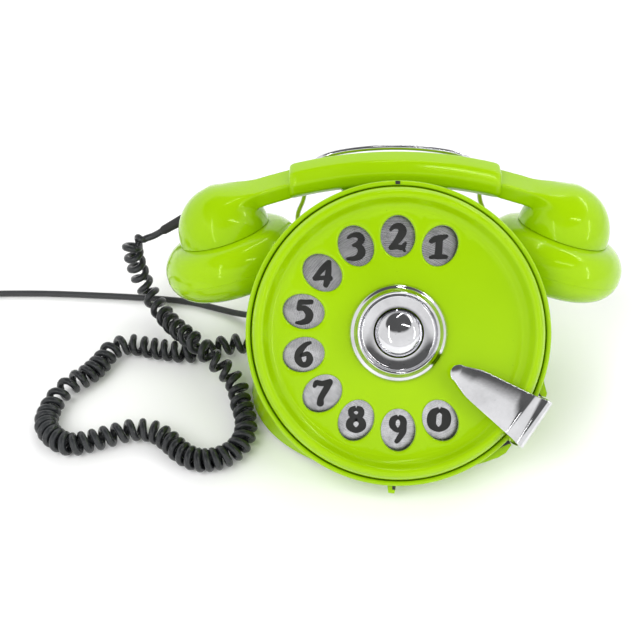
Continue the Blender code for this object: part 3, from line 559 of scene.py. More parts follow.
LAMP_AIM = (0, 0, 0.05)
SOFT_LAMPS = (
    ("key", (-0.9, -0.7, 1.5), (1.4, 1.4), 20),
    ("fill", (1.2, -0.8, 1.1), (1.4, 1.4), 10),
    ("back", (0.1, 1.3, 1.3), (1.6, 1.0), 9),
)
# Each strip lamp runs between two directions seen from the object.
STRIP_LAMPS = (
    ((-0.08, 0.21, 0.95), (0.25, 0.65, 0.67)), ((0.45, 0.59, 0.59), (0.70, 0.13, 0.63)),
    ((0.18, -0.35, 0.90), (0.58, -0.30, 0.73)), ((-0.48, -0.31, 0.82), (-0.38, -0.90, 0.21)),
    ((0.82, -0.14, 0.55), (0.81, -0.57, 0.13)),
)
STRIP_POWER = 1.1
STRIP_REACH = 1.3
STRIP_WIDTH = 0.035
STRIP_CENTRE = Vector((0, 0, 0.07))


def add_camera():
    """Looks square onto the tilted dial, a little from its left, with the dial right of the middle."""
    outward = DIAL.to_3x3() @ Vector((0, 0, 1))
    upward = DIAL.to_3x3() @ Vector((0, 1, 0))
    sideways = Vector((math.sin(CAMERA_SWING), 0, 0))
    place = DIAL_CENTRE + (outward * math.cos(CAMERA_SWING) + sideways) * CAMERA_DISTANCE
    to_dial = (DIAL_CENTRE - place).normalized()
    right = to_dial.cross(upward).normalized()
    forward = to_dial - right * DIAL_RIGHT_OF_MIDDLE + right.cross(to_dial) * DIAL_BELOW_MIDDLE
    forward.normalize()
    right = forward.cross(upward).normalized()
    data = bpy.data.cameras.new("camera")
    data.lens = 60.0
    data.sensor_width = 36.0
    data.clip_start = 0.01
    camera = bpy.data.objects.new("camera", data)
    bpy.context.scene.collection.objects.link(camera)
    turn = Matrix((right, right.cross(forward), -forward)).transposed().to_4x4()
    camera.matrix_world = Matrix.Translation(place) @ turn
    bpy.context.scene.camera = camera


def add_light(name, place, aim, size, power):
    data = bpy.data.lights.new(name, "AREA")
    data.shape = "RECTANGLE"
    data.size, data.size_y = size
    data.energy = power
    light = bpy.data.objects.new(name, data)
    bpy.context.scene.collection.objects.link(light)
    light.location = place
    light.rotation_euler = (Vector(aim) - Vector(place)).to_track_quat("-Z", "Y").to_euler()
    return light


def add_strip(name, first, last, power):
    """A narrow lamp seen in the gloss as a short bright line, running between two directions."""
    start = Vector(first).normalized() * STRIP_REACH
    end = Vector(last).normalized() * STRIP_REACH
    middle = (start + end) / 2
    along = (end - start).normalized()
    away = (middle - along * middle.dot(along)).normalized()
    turn = Matrix((along, away.cross(along), away)).transposed().to_4x4()
    lamp = add_light(name, middle, (0, 0, 0), ((end - start).length, STRIP_WIDTH), power)
    lamp.matrix_world = Matrix.Translation(middle + STRIP_CENTRE) @ turn


def add_world():
    """A bright room with a darker ceiling."""
    world = bpy.data.worlds.new("studio")
    world.use_nodes = True
    tree = world.node_tree
    background = tree.nodes["Background"]
    place = tree.nodes.new("ShaderNodeTexCoord")
    split = tree.nodes.new("ShaderNodeSeparateXYZ")
    tree.links.new(place.outputs["Generated"], split.inputs["Vector"])
    shade = ramp(tree, split.outputs["Z"], [(0.685, grey(1.0)), (0.755, grey(0.12))])
    tree.links.new(shade, background.inputs["Color"])
    background.inputs["Strength"].default_value = 1.0
    bpy.context.scene.world = world


def add_surroundings():
    add_world()
    floor_mat, tree, shader = new_shader("pale_floor", Roughness=0.8)
    place = stretched_place(tree)
    tone = ramp(tree, noise(tree, place, 3, 2), [(0.3, grey(0.88)), (0.7, grey(0.90))])
    tree.links.new(tone, shader.inputs["Base Color"])
    half = 3.0
    corners = [(-half, -half, 0), (half, -half, 0), (half, half, 0), (-half, half, 0)]
    new_piece("floor", (corners, [[0, 1, 2, 3]]), floor_mat)
    for name, place, size, power in SOFT_LAMPS:
        add_light(name, place, LAMP_AIM, size, power).visible_glossy = False
    for number, (first, last) in enumerate(STRIP_LAMPS, 1):
        add_strip("strip_%d" % number, first, last, STRIP_POWER)
    bpy.context.scene.view_settings.view_transform = "Standard"


# ---- cords ---------------------------------------------------------------------------------
def curly_line():
    """The wire's centreline: a helix of uneven pitch round the route, straight at both ends."""
    relief = (STRAIN_END - STRAIN_START).normalized()
    start = [STRAIN_END - relief * 0.004, STRAIN_END, STRAIN_END + relief * 0.007]
    face = CURLY_GROMMET - Vector((CURLY_GROMMET_LENGTH, 0, 0))
    route = start + CURLY_ROUTE + [face, face + Vector((0.004, 0, 0))]
    centre = smooth_route(in_body_frame(route), CURLY_STEP)
    first = BODY @ Vector(CURLY_ROUTE[0])
    coiled_from = min(range(len(centre)), key=lambda index: (centre[index] - first).length)
    gone = [0.0]
    for before, after in zip(centre, centre[1:]):
        gone.append(gone[-1] + (after - before).length)
    distances, pitches = zip(*CURLY_PITCHES)
    across = (centre[1] - centre[0]).orthogonal().normalized()
    angle = 0.0
    line = []
    for index in range(1, len(centre) - 1):
        along = (centre[index + 1] - centre[index - 1]).normalized()
        across = (across - along * across.dot(along)).normalized()
        stretch = gone[index] - gone[index - 1]
        distance = gone[index] - gone[coiled_from]
        pitch = float(np.interp(distance, distances, pitches))
        size = ease((distance + 0.009) / 0.010) * ease((gone[-1] - 0.0090 - gone[index]) / 0.005)
        pieces = max(1, round(CURLY_POINTS_PER_TURN * stretch / pitch)) if size > 0 else 1
        radius = size * float(np.interp(pitch, *zip(CURLY_TIGHT, CURLY_STRETCHED)))
        for piece in range(pieces):
            share = piece / pieces
            turned_by = angle + 2 * math.pi * stretch / pitch * share
            spot = centre[index].lerp(centre[index + 1], share)
            spot += (across * math.cos(turned_by) + along.cross(across) * math.sin(turned_by)) * radius
            spot.z = max(spot.z, CURLY_WIRE_RADIUS + 0.0002)
            line.append(spot)
        angle += 2 * math.pi * stretch / pitch
    return line


def add_curly_cord():
    line = curly_line()
    cord = new_piece("curly_handset_cord", skin(swept(line, CURLY_WIRE_RADIUS, 10), capped=True), CURLY_PVC)
    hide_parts("handset_cord", "handset_cord_lead", "handset_cord_tail")
    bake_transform(cord)


def coil_slots():
    """The turns in the order they are wound: inwards, outwards and inwards again, layer on layer."""
    slots = []
    for layer, columns in enumerate((COIL_COLUMNS, COIL_COLUMNS[::-1], COIL_COLUMNS)):
        slots += [(radius, COIL_FLOOR + COIL_STACK * layer) for radius in columns]
    return slots


def coil_line():
    """Points of the stored coil, from where the cord arrives to where its free end leaves."""
    arrival = Vector(LINE_ROUTE[-1]) - COIL_CENTRE
    start_angle = math.atan2(arrival.y, arrival.x)
    start_radius = math.hypot(arrival.x, arrival.y)
    tail = Vector(TAIL_ROUTE[0]) - COIL_CENTRE
    end_radius = math.hypot(tail.x, tail.y)
    slots = coil_slots()
    steps = 36
    points = []
    for turn, (radius, height) in enumerate(slots):
        after = slots[min(turn + 1, len(slots) - 1)]
        for step in range(steps):
            share = step / steps
            reach = radius + (after[0] - radius) * ease((share - 0.75) / 0.25)
            if turn == 0:
                reach += (start_radius - radius) * ease(1 - share / 0.22)
            lift = height + (after[1] - height) * ease((share - 0.45) / 0.30)
            points.append((start_angle + 2 * math.pi * (turn + share), reach, lift))
    last_radius, last_height = slots[-1]
    last_angle = start_angle + 2 * math.pi * len(slots)
    sweep = (math.atan2(tail.y, tail.x) - start_angle) % (2 * math.pi)
    leaving = 22
    for step in range(leaving):
        share = step / leaving
        reach = last_radius + (end_radius - last_radius) * ease((share - 0.12) / 0.62)
        crossing = last_height + COIL_STACK * 1.05 * ease(share / 0.22)
        lift = crossing + (TAIL_ROUTE[0][2] - crossing) * ease((share - 0.62) / 0.38)
        points.append((last_angle + sweep * share, reach, lift))
    return [COIL_CENTRE + Vector((reach * math.cos(angle), reach * math.sin(angle), lift))
            for angle, reach, lift in points]


def add_curve(name, points, radius, mat, resolution=4):
    data = bpy.data.curves.new(name, "CURVE")
    data.dimensions = "3D"
    data.bevel_depth = radius
    data.bevel_resolution = resolution
    data.use_fill_caps = True
    spline = data.splines.new("POLY")
    spline.points.add(len(points) - 1)
    for slot, point in zip(spline.points, points):
        slot.co = (*point, 1.0)
    data.materials.append(mat)
    curve = bpy.data.objects.new(name, data)
    bpy.context.scene.collection.objects.link(curve)
    return curve


def add_tie(place):
    """A flat strap round the coil's turns."""
    low = COIL_FLOOR - LINE_RADIUS - 0.0002
    high = COIL_FLOOR + 2 * COIL_STACK + LINE_RADIUS + 0.0003
    inner = COIL_COLUMNS[-1] - LINE_RADIUS - 0.0003
    outer = COIL_COLUMNS[0] + LINE_RADIUS + 0.0003
    middle = Vector(((inner + outer) / 2, 0, (low + high) / 2))
    loop = rounded_section(outer - inner, high - low, 0.0022, 5)
    rings = []
    for across, up in loop:
        outward = Vector((across, 0, up)).normalized() * 0.00035
        centre = middle + Vector((across, 0, up))
        rings.append([centre + outward * lift + Vector((0, side * 0.003, 0))
                      for side, lift in ((-1, -1), (1, -1), (1, 1), (-1, 1))])
    return new_piece("coil_tie", skin(rings, loop=True), RUBBER, place)


def add_line_cord():
    coil = coil_line()
    lead = smooth_route([Vector(point) for point in LINE_ROUTE], 0.008)
    tail = smooth_route([Vector(point) for point in TAIL_ROUTE] + [PLUG_NOSE], 0.006)
    points = [BODY @ point for point in lead[:-1] + coil + tail]
    cord = add_curve("line_cord_lead", points, LINE_RADIUS, LINE_PVC)
    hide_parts("line_cord", "line_cord_coil", "line_cord_tail")
    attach(cord, "root")
    tie = add_tie(BODY @ Matrix.Translation(COIL_CENTRE) @ Matrix.Rotation(math.radians(-35), 4, "Z"))
    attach(tie, "root")
    plug = add_plug()


def add_plug():
    """A moulded three-pin telephone plug: ribbed tail, waisted body with grip ribs, and three pins."""
    place = BODY @ Matrix.Translation(PLUG_NOSE) @ Matrix.Rotation(PLUG_AIM, 4, "Z")
    stations = [(0.0, 0.0052, 0.0052), (0.0008, 0.0064, 0.0064)]
    for ridge in range(4):
        start = 0.0018 + 0.0022 * ridge
        size = 0.0066 + 0.0004 * ridge
        stations += [(start, size, size), (start + 0.0004, size * 0.82, size * 0.82),
                     (start + 0.0009, size * 0.82, size * 0.82), (start + 0.0013, size, size)]
    stations += [(0.0110, 0.0100, 0.0088), (0.0130, 0.0150, 0.0108), (0.0155, 0.0200, 0.0132),
                 (0.0185, 0.0246, 0.0154), (0.0215, 0.0268, 0.0166)]
    for ridge in range(5):
        start = 0.0235 + 0.0022 * ridge
        stations += [(start, 0.0276, 0.0168), (start + 0.0005, 0.0288, 0.0178), (start + 0.0012, 0.0288,
                                                                                 0.0178),
                     (start + 0.0017, 0.0276, 0.0168)]
    stations += [(0.0350, 0.0282, 0.0172), (0.0378, 0.0290, 0.0180), (0.0394, 0.0290, 0.0180),
                 (0.0400, 0.0278, 0.0168)]
    rings = []
    for x, width, height in stations:
        section = rounded_section(width, height, min(width, height) * 0.42, 6)
        rings.append([(x, across, up) for across, up in section])
    body = new_piece("plug_moulding", skin(rings, capped=True), PLUG_PVC, place)
    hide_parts("plug_body")
    pieces = [body]
    for number, (across, up) in enumerate(((-0.0075, -0.0025), (0.0075, -0.0025), (0.0, 0.0040)), 1):
        runs = [[(0.0, 0.0), (0.0018, 0.0)], [(0.0018, 0.0), (0.0018, 0.0126)],
                [(0.0018, 0.0126), (0.0014, 0.0138), (0.0007, 0.0147), (0.0, 0.0150)]]
        aim = place @ Matrix.Translation((0.0397, across, up)) @ Matrix.Rotation(math.pi / 2, 4, "Y")
        pin = turned("plug_contact_%d" % number, runs, BRASS, aim, steps=28)
        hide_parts("plug_pin_%d" % number)
        pieces.append(pin)
    for piece in pieces:
        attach(piece, "root")
    return pieces


add_camera()
add_surroundings()
dress_nodes()
add_curly_cord()
add_line_cord()


# ---- dial ----------------------------------------------------------------------------------
HOLE_POINTS = 48
SIDE_POINTS = HOLE_POINTS // 4
SECTOR_INNER = 0.0360
SECTOR_OUTER = 0.0655
HOLE_FILLET = 0.0013


def sector_border(middle):
    """Points round one sector of the wheel's face, counter-clockwise from its outer middle."""
    half = HOLE_STEP / 2
    border = []
    for side in range(4):
        for step in range(SIDE_POINTS):
            share = step / SIDE_POINTS
            if side == 0:
                border.append((SECTOR_OUTER, middle - half + 2 * half * share))
            elif side == 1:
                border.append((SECTOR_OUTER + (SECTOR_INNER - SECTOR_OUTER) * share, middle + half))
            elif side == 2:
                border.append((SECTOR_INNER, middle + half - 2 * half * share))
            else:
                border.append((SECTOR_INNER + (SECTOR_OUTER - SECTOR_INNER) * share, middle - half))
    return [Vector((radius * math.cos(angle), radius * math.sin(angle), WHEEL_FACE_Z)) for radius,
            angle in border]


def hole_rings(middle):
    """Rings up one finger hole from the wheel's underside, over its soft edge and out to the border."""
    centre = Vector((HOLE_PITCH_RADIUS * math.cos(middle), HOLE_PITCH_RADIUS * math.sin(middle), 0))
    outward = centre.normalized()
    onward = Vector((-outward.y, outward.x, 0))
    border = sector_border(middle)
    angles = []
    for point in border:
        offset = point - centre
        angles.append(math.atan2(offset.dot(onward) / HOLE_HALF_TANGENTIAL,
                                 offset.dot(outward) / HOLE_HALF_RADIAL))
    levels = [(0.0, WHEEL_UNDERSIDE_Z)]
    for step in range(6):
        bend = math.pi / 2 * step / 5
        levels.append((HOLE_FILLET * (1 - math.cos(bend)), WHEEL_FACE_Z - HOLE_FILLET * (1 - math.sin(bend))))
    rings = []
    for grow, z in levels:
        ring = []
        for angle in angles:
            reach_out = (HOLE_HALF_RADIAL + grow) * math.cos(angle)
            reach_on = (HOLE_HALF_TANGENTIAL + grow) * math.sin(angle)
            ring.append(centre + outward * reach_out + onward * reach_on + Vector((0, 0, z)))
        rings.append(ring)
    edge = rings[-1]
    for share in (0.4, 1.0):
        rings.append([point.lerp(target, share) for point, target in zip(edge, border)])
    underside = [Vector((point.x, point.y, WHEEL_UNDERSIDE_Z)) for point in border]
    return [underside] + rings


def blank_sector(middle, z):
    """A flat patch of the wheel where there is no finger hole."""
    rows = []
    for radial in range(SIDE_POINTS + 1):
        radius = SECTOR_INNER + (SECTOR_OUTER - SECTOR_INNER) * radial / SIDE_POINTS
        row = []
        for step in range(SIDE_POINTS + 1):
            angle = middle + HOLE_STEP * (step / SIDE_POINTS - 0.5)
            row.append(Vector((radius * math.cos(angle), radius * math.sin(angle), z)))
        rows.append(row)
    return rows


def wheel_shape():
    """The finger wheel as one closed skin: dished face, ten holes, rolled rim and flat underside."""
    bm = bmesh.new()

    def quad(corners):
        bm.faces.new([bm.verts.new(corner) for corner in corners])

    def bridge(first, second, wrapped):
        count = len(first)
        for index in range(count if wrapped else count - 1):
            after = (index + 1) % count
            quad((first[index], first[after], second[after], second[index]))

    for sector in range(HOLE_SECTORS):
        middle = FIRST_HOLE_ANGLE + HOLE_STEP * sector
        if sector < HOLE_COUNT:
            rings = hole_rings(middle)
            for first, second in zip(rings, rings[1:]):
                bridge(first, second, True)
            continue
        for z in (WHEEL_FACE_Z, WHEEL_UNDERSIDE_Z):
            rows = blank_sector(middle, z)
            for first, second in zip(rows, rows[1:]):
                bridge(first, second, False)
    steps = HOLE_SECTORS * SIDE_POINTS
    rim = [Vector((radius, 0, z)) for radius, z in (
        (SECTOR_OUTER, WHEEL_FACE_Z), (0.0672, -0.0061), (0.0690, -0.0045), (0.0706, -0.0022), (0.0718,
                                                                                                -0.0006),
        (0.0733, 0.0), (0.0750, -0.0006), (0.0766, -0.0026), (0.0776, -0.0056), (0.0780, -0.0090))]
    lip = [Vector((radius, 0, z)) for radius, z in (
        (0.0764, -0.0090), (0.0756, -0.0048), (0.0740, -0.0026), (0.0724, -0.0034), (0.0706, -0.0066),
        (0.0686, -0.0088), (SECTOR_OUTER, WHEEL_UNDERSIDE_Z))]
    bore = [Vector((SECTOR_INNER, 0, WHEEL_UNDERSIDE_Z)), Vector((SHAFT_RADIUS + GAP, 0, WHEEL_UNDERSIDE_Z)),
            Vector((SHAFT_RADIUS + GAP, 0, WHEEL_FACE_Z)), Vector((SECTOR_INNER, 0, WHEEL_FACE_Z))]
    profile = smooth_route(rim, PROFILE_STEP) + smooth_route(lip, 0.0015)
    start = FIRST_HOLE_ANGLE - HOLE_STEP / 2
    for line in (profile, bore):
        for low, high in zip(line, line[1:]):
            rings = []
            for point in (low, high):
                rings.append([Vector((point.x * math.cos(angle), point.x * math.sin(angle), point.z))
                              for angle in (start + 2 * math.pi * index / steps for index in range(steps))])
            bridge(rings[0], rings[1], True)
    bmesh.ops.remove_doubles(bm, verts=bm.verts, dist=0.00001)
    bm.verts.index_update()
    vertices = [tuple(vertex.co) for vertex in bm.verts]
    faces = [[vertex.index for vertex in face.verts] for face in bm.faces]
    bm.free()
    return vertices, faces


def add_turned_parts():
    """Round pieces of the dial, turned finely enough to reflect cleanly, on their CAD nodes' places."""
    low = WHEEL_FACE_Z + GAP
    table = {
        "hub_ring": (CHROME, "dial", "chrome", DIAL, True, [
            [(0.0133, -0.0017), (0.0185, -0.0018)],
            [(0.0185, -0.0018), (0.0196, -0.0012), (0.0203, 0.0002), (0.0211, 0.0009), (0.0218, 0.0006),
             (0.0224, -0.0008), (0.0230, -0.0026), (0.0240, -0.0036), (0.0251, -0.0043), (0.0258, -0.0052),
             (0.0260, -0.0062)],
            [(0.0260, -0.0062), (0.0260, low)], [(0.0260, low), (0.0133, low)], [(0.0133, low), (0.0133,
                                                                                                 -0.0017)]]),
        "hub_cap": (CHROME, "dial", "chrome", DIAL, False, [
            [(0.0, 0.0045), (0.0030, 0.0043), (0.0058, 0.0037), (0.0084, 0.0026), (0.0105, 0.0010),
             (0.0119, -0.0006),
             (0.0127, -0.0020), (0.0129, -0.0030)],
            [(0.0129, -0.0030), (0.0129, low)], [(0.0129, low), (0.0, low)]]),
        "number_plate": (ALUMINIUM, "root", "aluminium", DIAL, True, [
            [(0.0300, NUMBER_PLATE_Z), (0.0755, NUMBER_PLATE_Z)], [(0.0755, NUMBER_PLATE_Z), (0.0755,
                                                                                              -0.0168)],
            [(0.0755, -0.0168), (0.0300, -0.0168)], [(0.0300, -0.0168), (0.0300, NUMBER_PLATE_Z)]]),
        "dial_bezel": (LIME, "root", "lime_abs", DIAL, True, [
            [(0.0785, -0.0171), (0.0785, -0.0080)],
            [(0.0785, -0.0080), (0.0788, -0.0073), (0.0796, -0.0070), (0.0805, -0.0072), (0.0811, -0.0079),
             (0.0813, -0.0090)],
            [(0.0813, -0.0090), (0.0813, -0.0134)],
            [(0.0813, -0.0134), (0.0809, -0.0138), (0.0809, -0.0141), (0.0813, -0.0145)],
            [(0.0813, -0.0145), (0.0813, BEZEL_BOTTOM_Z)], [(0.0813, BEZEL_BOTTOM_Z), (0.0660,
                                                                                       BEZEL_BOTTOM_Z)],
            [(0.0660, BEZEL_BOTTOM_Z), (0.0660, -0.0171)], [(0.0660, -0.0171), (0.0785, -0.0171)]]),
    }
    for node, (mat, body, slot, place, closed, runs) in table.items():
        piece = turned(node + "_turned", runs, mat, place, steps=192, closed=closed)
        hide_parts(node)
        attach(piece, body)


def add_wheel():
    wheel = new_piece("finger_wheel_moulding", wheel_shape(), LIME, DIAL)
    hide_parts("finger_wheel")
    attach(wheel, "dial")


# Each digit is a few brush strokes of (across, up, half width), in millimetres from its middle.
DIGIT_STROKES = {
    1: [[(0.4, 4.6, 1.9), (0.1, 0.0, 2.0), (-0.2, -4.6, 2.1)],
        [(-4.0, 3.0, 1.3), (-1.8, 4.2, 1.7), (1.6, 4.9, 1.7), (4.2, 5.7, 1.0)],
        [(-4.5, -5.7, 0.9), (-1.6, -5.3, 1.4), (1.6, -5.3, 1.4), (3.9, -5.5, 1.1)]],
    2: [[(-3.4, 4.2, 0.9), (-1.8, 5.7, 1.3), (1.2, 6.0, 1.9), (2.9, 3.4, 2.3), (0.9, -0.6, 2.0), (-1.8,
                                                                                                  -3.8, 1.5),
         (-3.4, -5.4, 1.3)],
        [(-3.3, -5.5, 1.3), (0.0, -5.1, 1.4), (2.8, -5.4, 1.5), (4.4, -3.0, 0.8)],
        [(2.6, -5.2, 1.3), (4.0, -7.2, 0.8)]],
    3: [[(-3.9, 5.0, 0.9), (-1.8, 6.3, 1.2), (1.6, 6.2, 1.7), (3.1, 3.9, 1.9), (1.0, 1.4, 1.5), (-1.2, 0.8,
                                                                                                 0.9)],
        [(0.2, 1.0, 1.0), (2.6, -0.7, 1.9), (3.0, -3.6, 2.2), (0.3, -6.0, 1.6), (-4.3, -6.4, 0.9)]],
    4: [[(3.2, 6.0, 1.3), (0.4, 3.0, 1.6), (-3.9, -2.2, 1.2)],
        [(-4.0, -2.6, 1.4), (0.0, -2.4, 1.3), (4.2, -2.6, 1.5)],
        [(3.4, 6.0, 1.4), (3.2, 1.0, 1.7), (2.6, -3.6, 1.8), (1.8, -6.2, 1.5)]],
    5: [[(-1.8, 5.2, 1.5), (1.4, 5.2, 1.4), (3.8, 5.3, 1.4)],
        [(-2.1, 5.2, 1.4), (-2.8, 1.8, 1.4)],
        [(-2.8, 1.8, 1.2), (0.4, 1.7, 1.7), (2.8, -1.2, 2.2), (2.0, -4.3, 2.0), (-1.2, -5.8, 1.4), (-4.1,
                                                                                                    -5.9,
                                                                                                    0.8)]],
    6: [[(3.3, 6.2, 0.9), (0.6, 5.0, 1.4), (-2.6, 1.2, 2.0), (-3.2, -2.6, 2.0), (-1.2, -5.4, 1.6), (1.6,
                                                                                                    -5.3,
                                                                                                    1.7),
         (3.1, -2.6, 1.9), (1.8, 0.2, 1.4), (-1.4, -0.6, 1.0)]],
    7: [[(-4.3, 3.6, 1.1), (-3.2, 5.3, 1.5), (-0.2, 4.9, 1.5), (4.0, 5.9, 1.5)],
        [(3.8, 5.5, 1.8), (1.8, 1.8, 1.8), (-0.8, -2.8, 1.7), (-1.2, -5.6, 2.0)]],
    8: [[(0.2, 6.0, 1.4), (2.6, 4.9, 1.7), (2.7, 2.5, 1.7), (0.3, 0.9, 1.6), (-2.3, 2.5, 1.6), (-2.3, 4.9,
                                                                                                1.6),
         (0.2, 6.0, 1.4)],
        [(0.2, 0.8, 1.6), (3.0, -1.0, 1.9), (3.3, -3.9, 2.1), (0.1, -5.9, 1.6), (-3.1, -3.9, 2.1), (-2.8,
                                                                                                    -1.0,
                                                                                                    1.9),
         (0.2, 0.8, 1.6)]],
    9: [[(0.4, 6.6, 1.2), (2.9, 4.8, 1.8), (3.0, 1.6, 1.8), (0.2, -0.8, 1.3), (-2.5, 1.6, 1.8), (-2.3, 4.8,
                                                                                                 1.8),
         (0.4, 6.6, 1.2)],
        [(3.2, 3.2, 1.7), (3.0, -1.4, 1.8), (0.8, -5.2, 1.5), (-0.4, -6.7, 1.3)]],
    0: [[(0.3, 5.4, 1.4), (3.4, 3.4, 2.2), (4.0, 0.0, 2.6), (3.0, -3.4, 2.2), (-0.2, -5.4, 1.4), (-3.4,
                                                                                                  -3.4, 2.2),
         (-4.0, 0.0, 2.6), (-3.0, 3.4, 2.2), (0.3, 5.4, 1.4)]],
}
DIGIT_HEIGHT = 0.00006


def stroke_outline(stroke):
    """Left and right edges of one brush stroke, rounded at its ends, in metres."""
    points = smooth_route([Vector(point) * 0.001 for point in stroke], 0.0003)
    left = []
    right = []
    for index, point in enumerate(points):
        ahead = points[min(index + 1, len(points) - 1)]
        behind = points[max(index - 1, 0)]
        along = Vector((ahead.x - behind.x, ahead.y - behind.y)).normalized()
        side = Vector((-along.y, along.x)) * point.z
        left.append(point.xy + side)
        right.append(point.xy - side)
    if stroke[0] == stroke[-1]:
        return left, right
    for end, outer in ((0, -1), (-1, 1)):
        centre = points[end].xy
        reach = points[end].z
        step = points[1].xy - points[0].xy if end == 0 else points[-1].xy - points[-2].xy
        along = step.normalized() * outer
        side = (left[end] - centre).normalized()
        for turn in range(1, 8):
            angle = math.pi / 2 * turn / 8
            for edge, sign in ((left, 1), (right, -1)):
                spot = centre + (along * math.sin(angle) + side * sign * math.cos(angle)) * reach
                if end == 0:
                    edge.insert(0, spot)
                else:
                    edge.append(spot)
    return left, right


def add_digits():
    """The printed numbers, upright on the plate under each finger hole."""
    vertices = []
    faces = []
    for index, digit in enumerate((1, 2, 3, 4, 5, 6, 7, 8, 9, 0)):
        angle = FIRST_HOLE_ANGLE + HOLE_STEP * index
        centre = Vector((math.cos(angle), math.sin(angle))) * HOLE_PITCH_RADIUS
        for layer, stroke in enumerate(DIGIT_STROKES[digit]):
            left, right = stroke_outline(stroke)
            z = NUMBER_PLATE_Z + DIGIT_HEIGHT * (1 + 0.2 * layer)
            start = len(vertices)
            for first, second in zip(left, right):
                vertices += [(*(centre + first), z), (*(centre + second), z)]
            for step in range(len(left) - 1):
                corner = start + 2 * step
                faces.append([corner, corner + 1, corner + 3, corner + 2])
    digits = new_piece("printed_digits", (vertices, faces), INK_AND_PAINTED_SHADE, DIAL)
    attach(digits, "root")


STOP_STATIONS = (
    (0.0378, 0.0019, 0.0048, 0.0009), (0.0430, 0.0019, 0.0068, 0.0009), (0.0480, 0.0019, 0.0084, 0.0009),
    (0.0610, 0.0019, 0.0103, 0.0009), (0.0735, 0.0019, 0.0120, 0.0009), (0.0752, 0.0020, 0.0123, 0.0010),
    (0.0768, 0.0026, 0.0126, 0.0011), (0.0788, 0.0040, 0.0129, 0.0012), (0.0808, 0.0056, 0.0133, 0.0013),
    (0.0824, 0.0066, 0.0137, 0.0015), (0.0838, 0.0063, 0.0140, 0.0016), (0.0845, 0.0048, 0.0143, 0.0016),
    (0.0848, 0.0024, 0.0145, 0.0016), (0.0848, -0.0020, 0.0147, 0.0016), (0.0846, -0.0090, 0.0148, 0.0016),
    (0.0842, -0.0162, 0.0148, 0.0016),
)


def add_finger_stop():
    """A chromed tongue with a rounded tip, bent up to a crest and down over the dial's rim."""
    nose_x, nose_z, nose_half, thin = STOP_STATIONS[0]
    stations = []
    for step in range(1, 9):
        bend = math.pi / 2 * step / 9
        stations.append((nose_x - nose_half * math.cos(bend), nose_z, nose_half * math.sin(bend), thin))
    stations += STOP_STATIONS
    centres = smooth_route([Vector((x, half, z)) for x, z, half, _ in stations], 0.0007)
    rings = []
    reach = 0.0
    for index, point in enumerate(centres):
        ahead = centres[min(index + 1, len(centres) - 1)]
        behind = centres[max(index - 1, 0)]
        slope = math.atan2(ahead.z - behind.z, ahead.x - behind.x)
        upward = Vector((-math.sin(slope), 0, math.cos(slope)))
        reach = path_length(centres[:index + 1])
        thick = 0.0009 + 0.0007 * ease((reach - 0.040) / 0.012)
        edge = min(0.0006, point.y * 0.6, thick * 0.6)
        ring = []
        for across, up in rounded_section(2 * point.y, 2 * thick, edge, 4):
            ring.append(Vector((point.x, across, point.z)) + upward * up)
        rings.append(ring)
    stop = new_piece("finger_stop_casting", skin(rings, capped=True), CHROME, STOP)
    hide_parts("finger_stop")
    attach(stop, "root")


# Material, lowest and highest z, inner radius, then angles in degrees with how far out the rim reaches there.
RIM_LUGS = {
    "upper_stop_flange": (LIME, -0.0182, -0.0150, 0.0800,
                          ((-16, 0.0814), (-19, 0.0832), (-22, 0.0864), (-23.4, 0.0866), (-24.2, 0.0814))),
    "lower_stop_flange": (LIME, -0.0182, -0.0150, 0.0800,
                          ((-43.5, 0.0814), (-44.5, 0.0856), (-48, 0.0866), (-51, 0.0858),
                           (-56, 0.0836), (-62, 0.0814))),
    "lower_catch": (LIME, -0.0160, -0.0125, 0.0800,
                    ((-94.0, 0.0812), (-93.4, 0.0856), (-91.2, 0.0858), (-90.6, 0.0812))),
    # The black rows are painted shade: thin dark sheets that stand for the shadowed inside of the catches'
    # holes and of the slits beside the finger stop.
    "lower_catch_hole_painted_shade": (INK_AND_PAINTED_SHADE, -0.0126, -0.0123, 0.0816, ((-92.0, 0.0838), (-90.9, 0.0838))),
    "upper_catch_hole_painted_shade": (INK_AND_PAINTED_SHADE, -0.0076, -0.0068, 0.0790, ((89.2, 0.0808), (91.0, 0.0808))),
    "stop_slit_high_painted_shade": (INK_AND_PAINTED_SHADE, -0.0140, -0.0136, 0.0812, ((-22.6, 0.0814), (-24.0, 0.0846))),
    "stop_slit_low_painted_shade": (INK_AND_PAINTED_SHADE, -0.0149, -0.0146, 0.0812, ((-44.2, 0.0846), (-47.0, 0.0830), (-52.0, 0.0815))),
}


def add_rim_lugs():
    """The rim's flange either side of the finger stop, the moulded catches that hold the dial in, and thin
    black sheets of painted shade in the catches' holes and the slits by the stop.
    """
    for name, (mat, low, high, inner, reaches) in RIM_LUGS.items():
        rings = []
        for degrees, outer in reaches:
            aim = Vector((math.cos(math.radians(degrees)), math.sin(math.radians(degrees)), 0))
            rings.append([aim * inner + Vector((0, 0, low)), aim * outer + Vector((0, 0, low)),
                          aim * outer + Vector((0, 0, high)), aim * inner + Vector((0, 0, high))])
        lug = new_piece(name, skin(rings, capped=True), mat, DIAL)
        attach(lug, "root")


add_wheel()
add_turned_parts()
add_digits()
add_finger_stop()
add_rim_lugs()


# ---- housing -------------------------------------------------------------------------------
def foot_point(angle, inset=0.0):
    """The foot's outline, an ellipse seen from above, in body coordinates."""
    x = (FOOT_HALF_WIDTH - inset) * math.cos(angle)
    y = FOOT_CENTRE_Y + (FOOT_HALF_LENGTH - inset) * math.sin(angle)
    return Vector((x, y, 0))


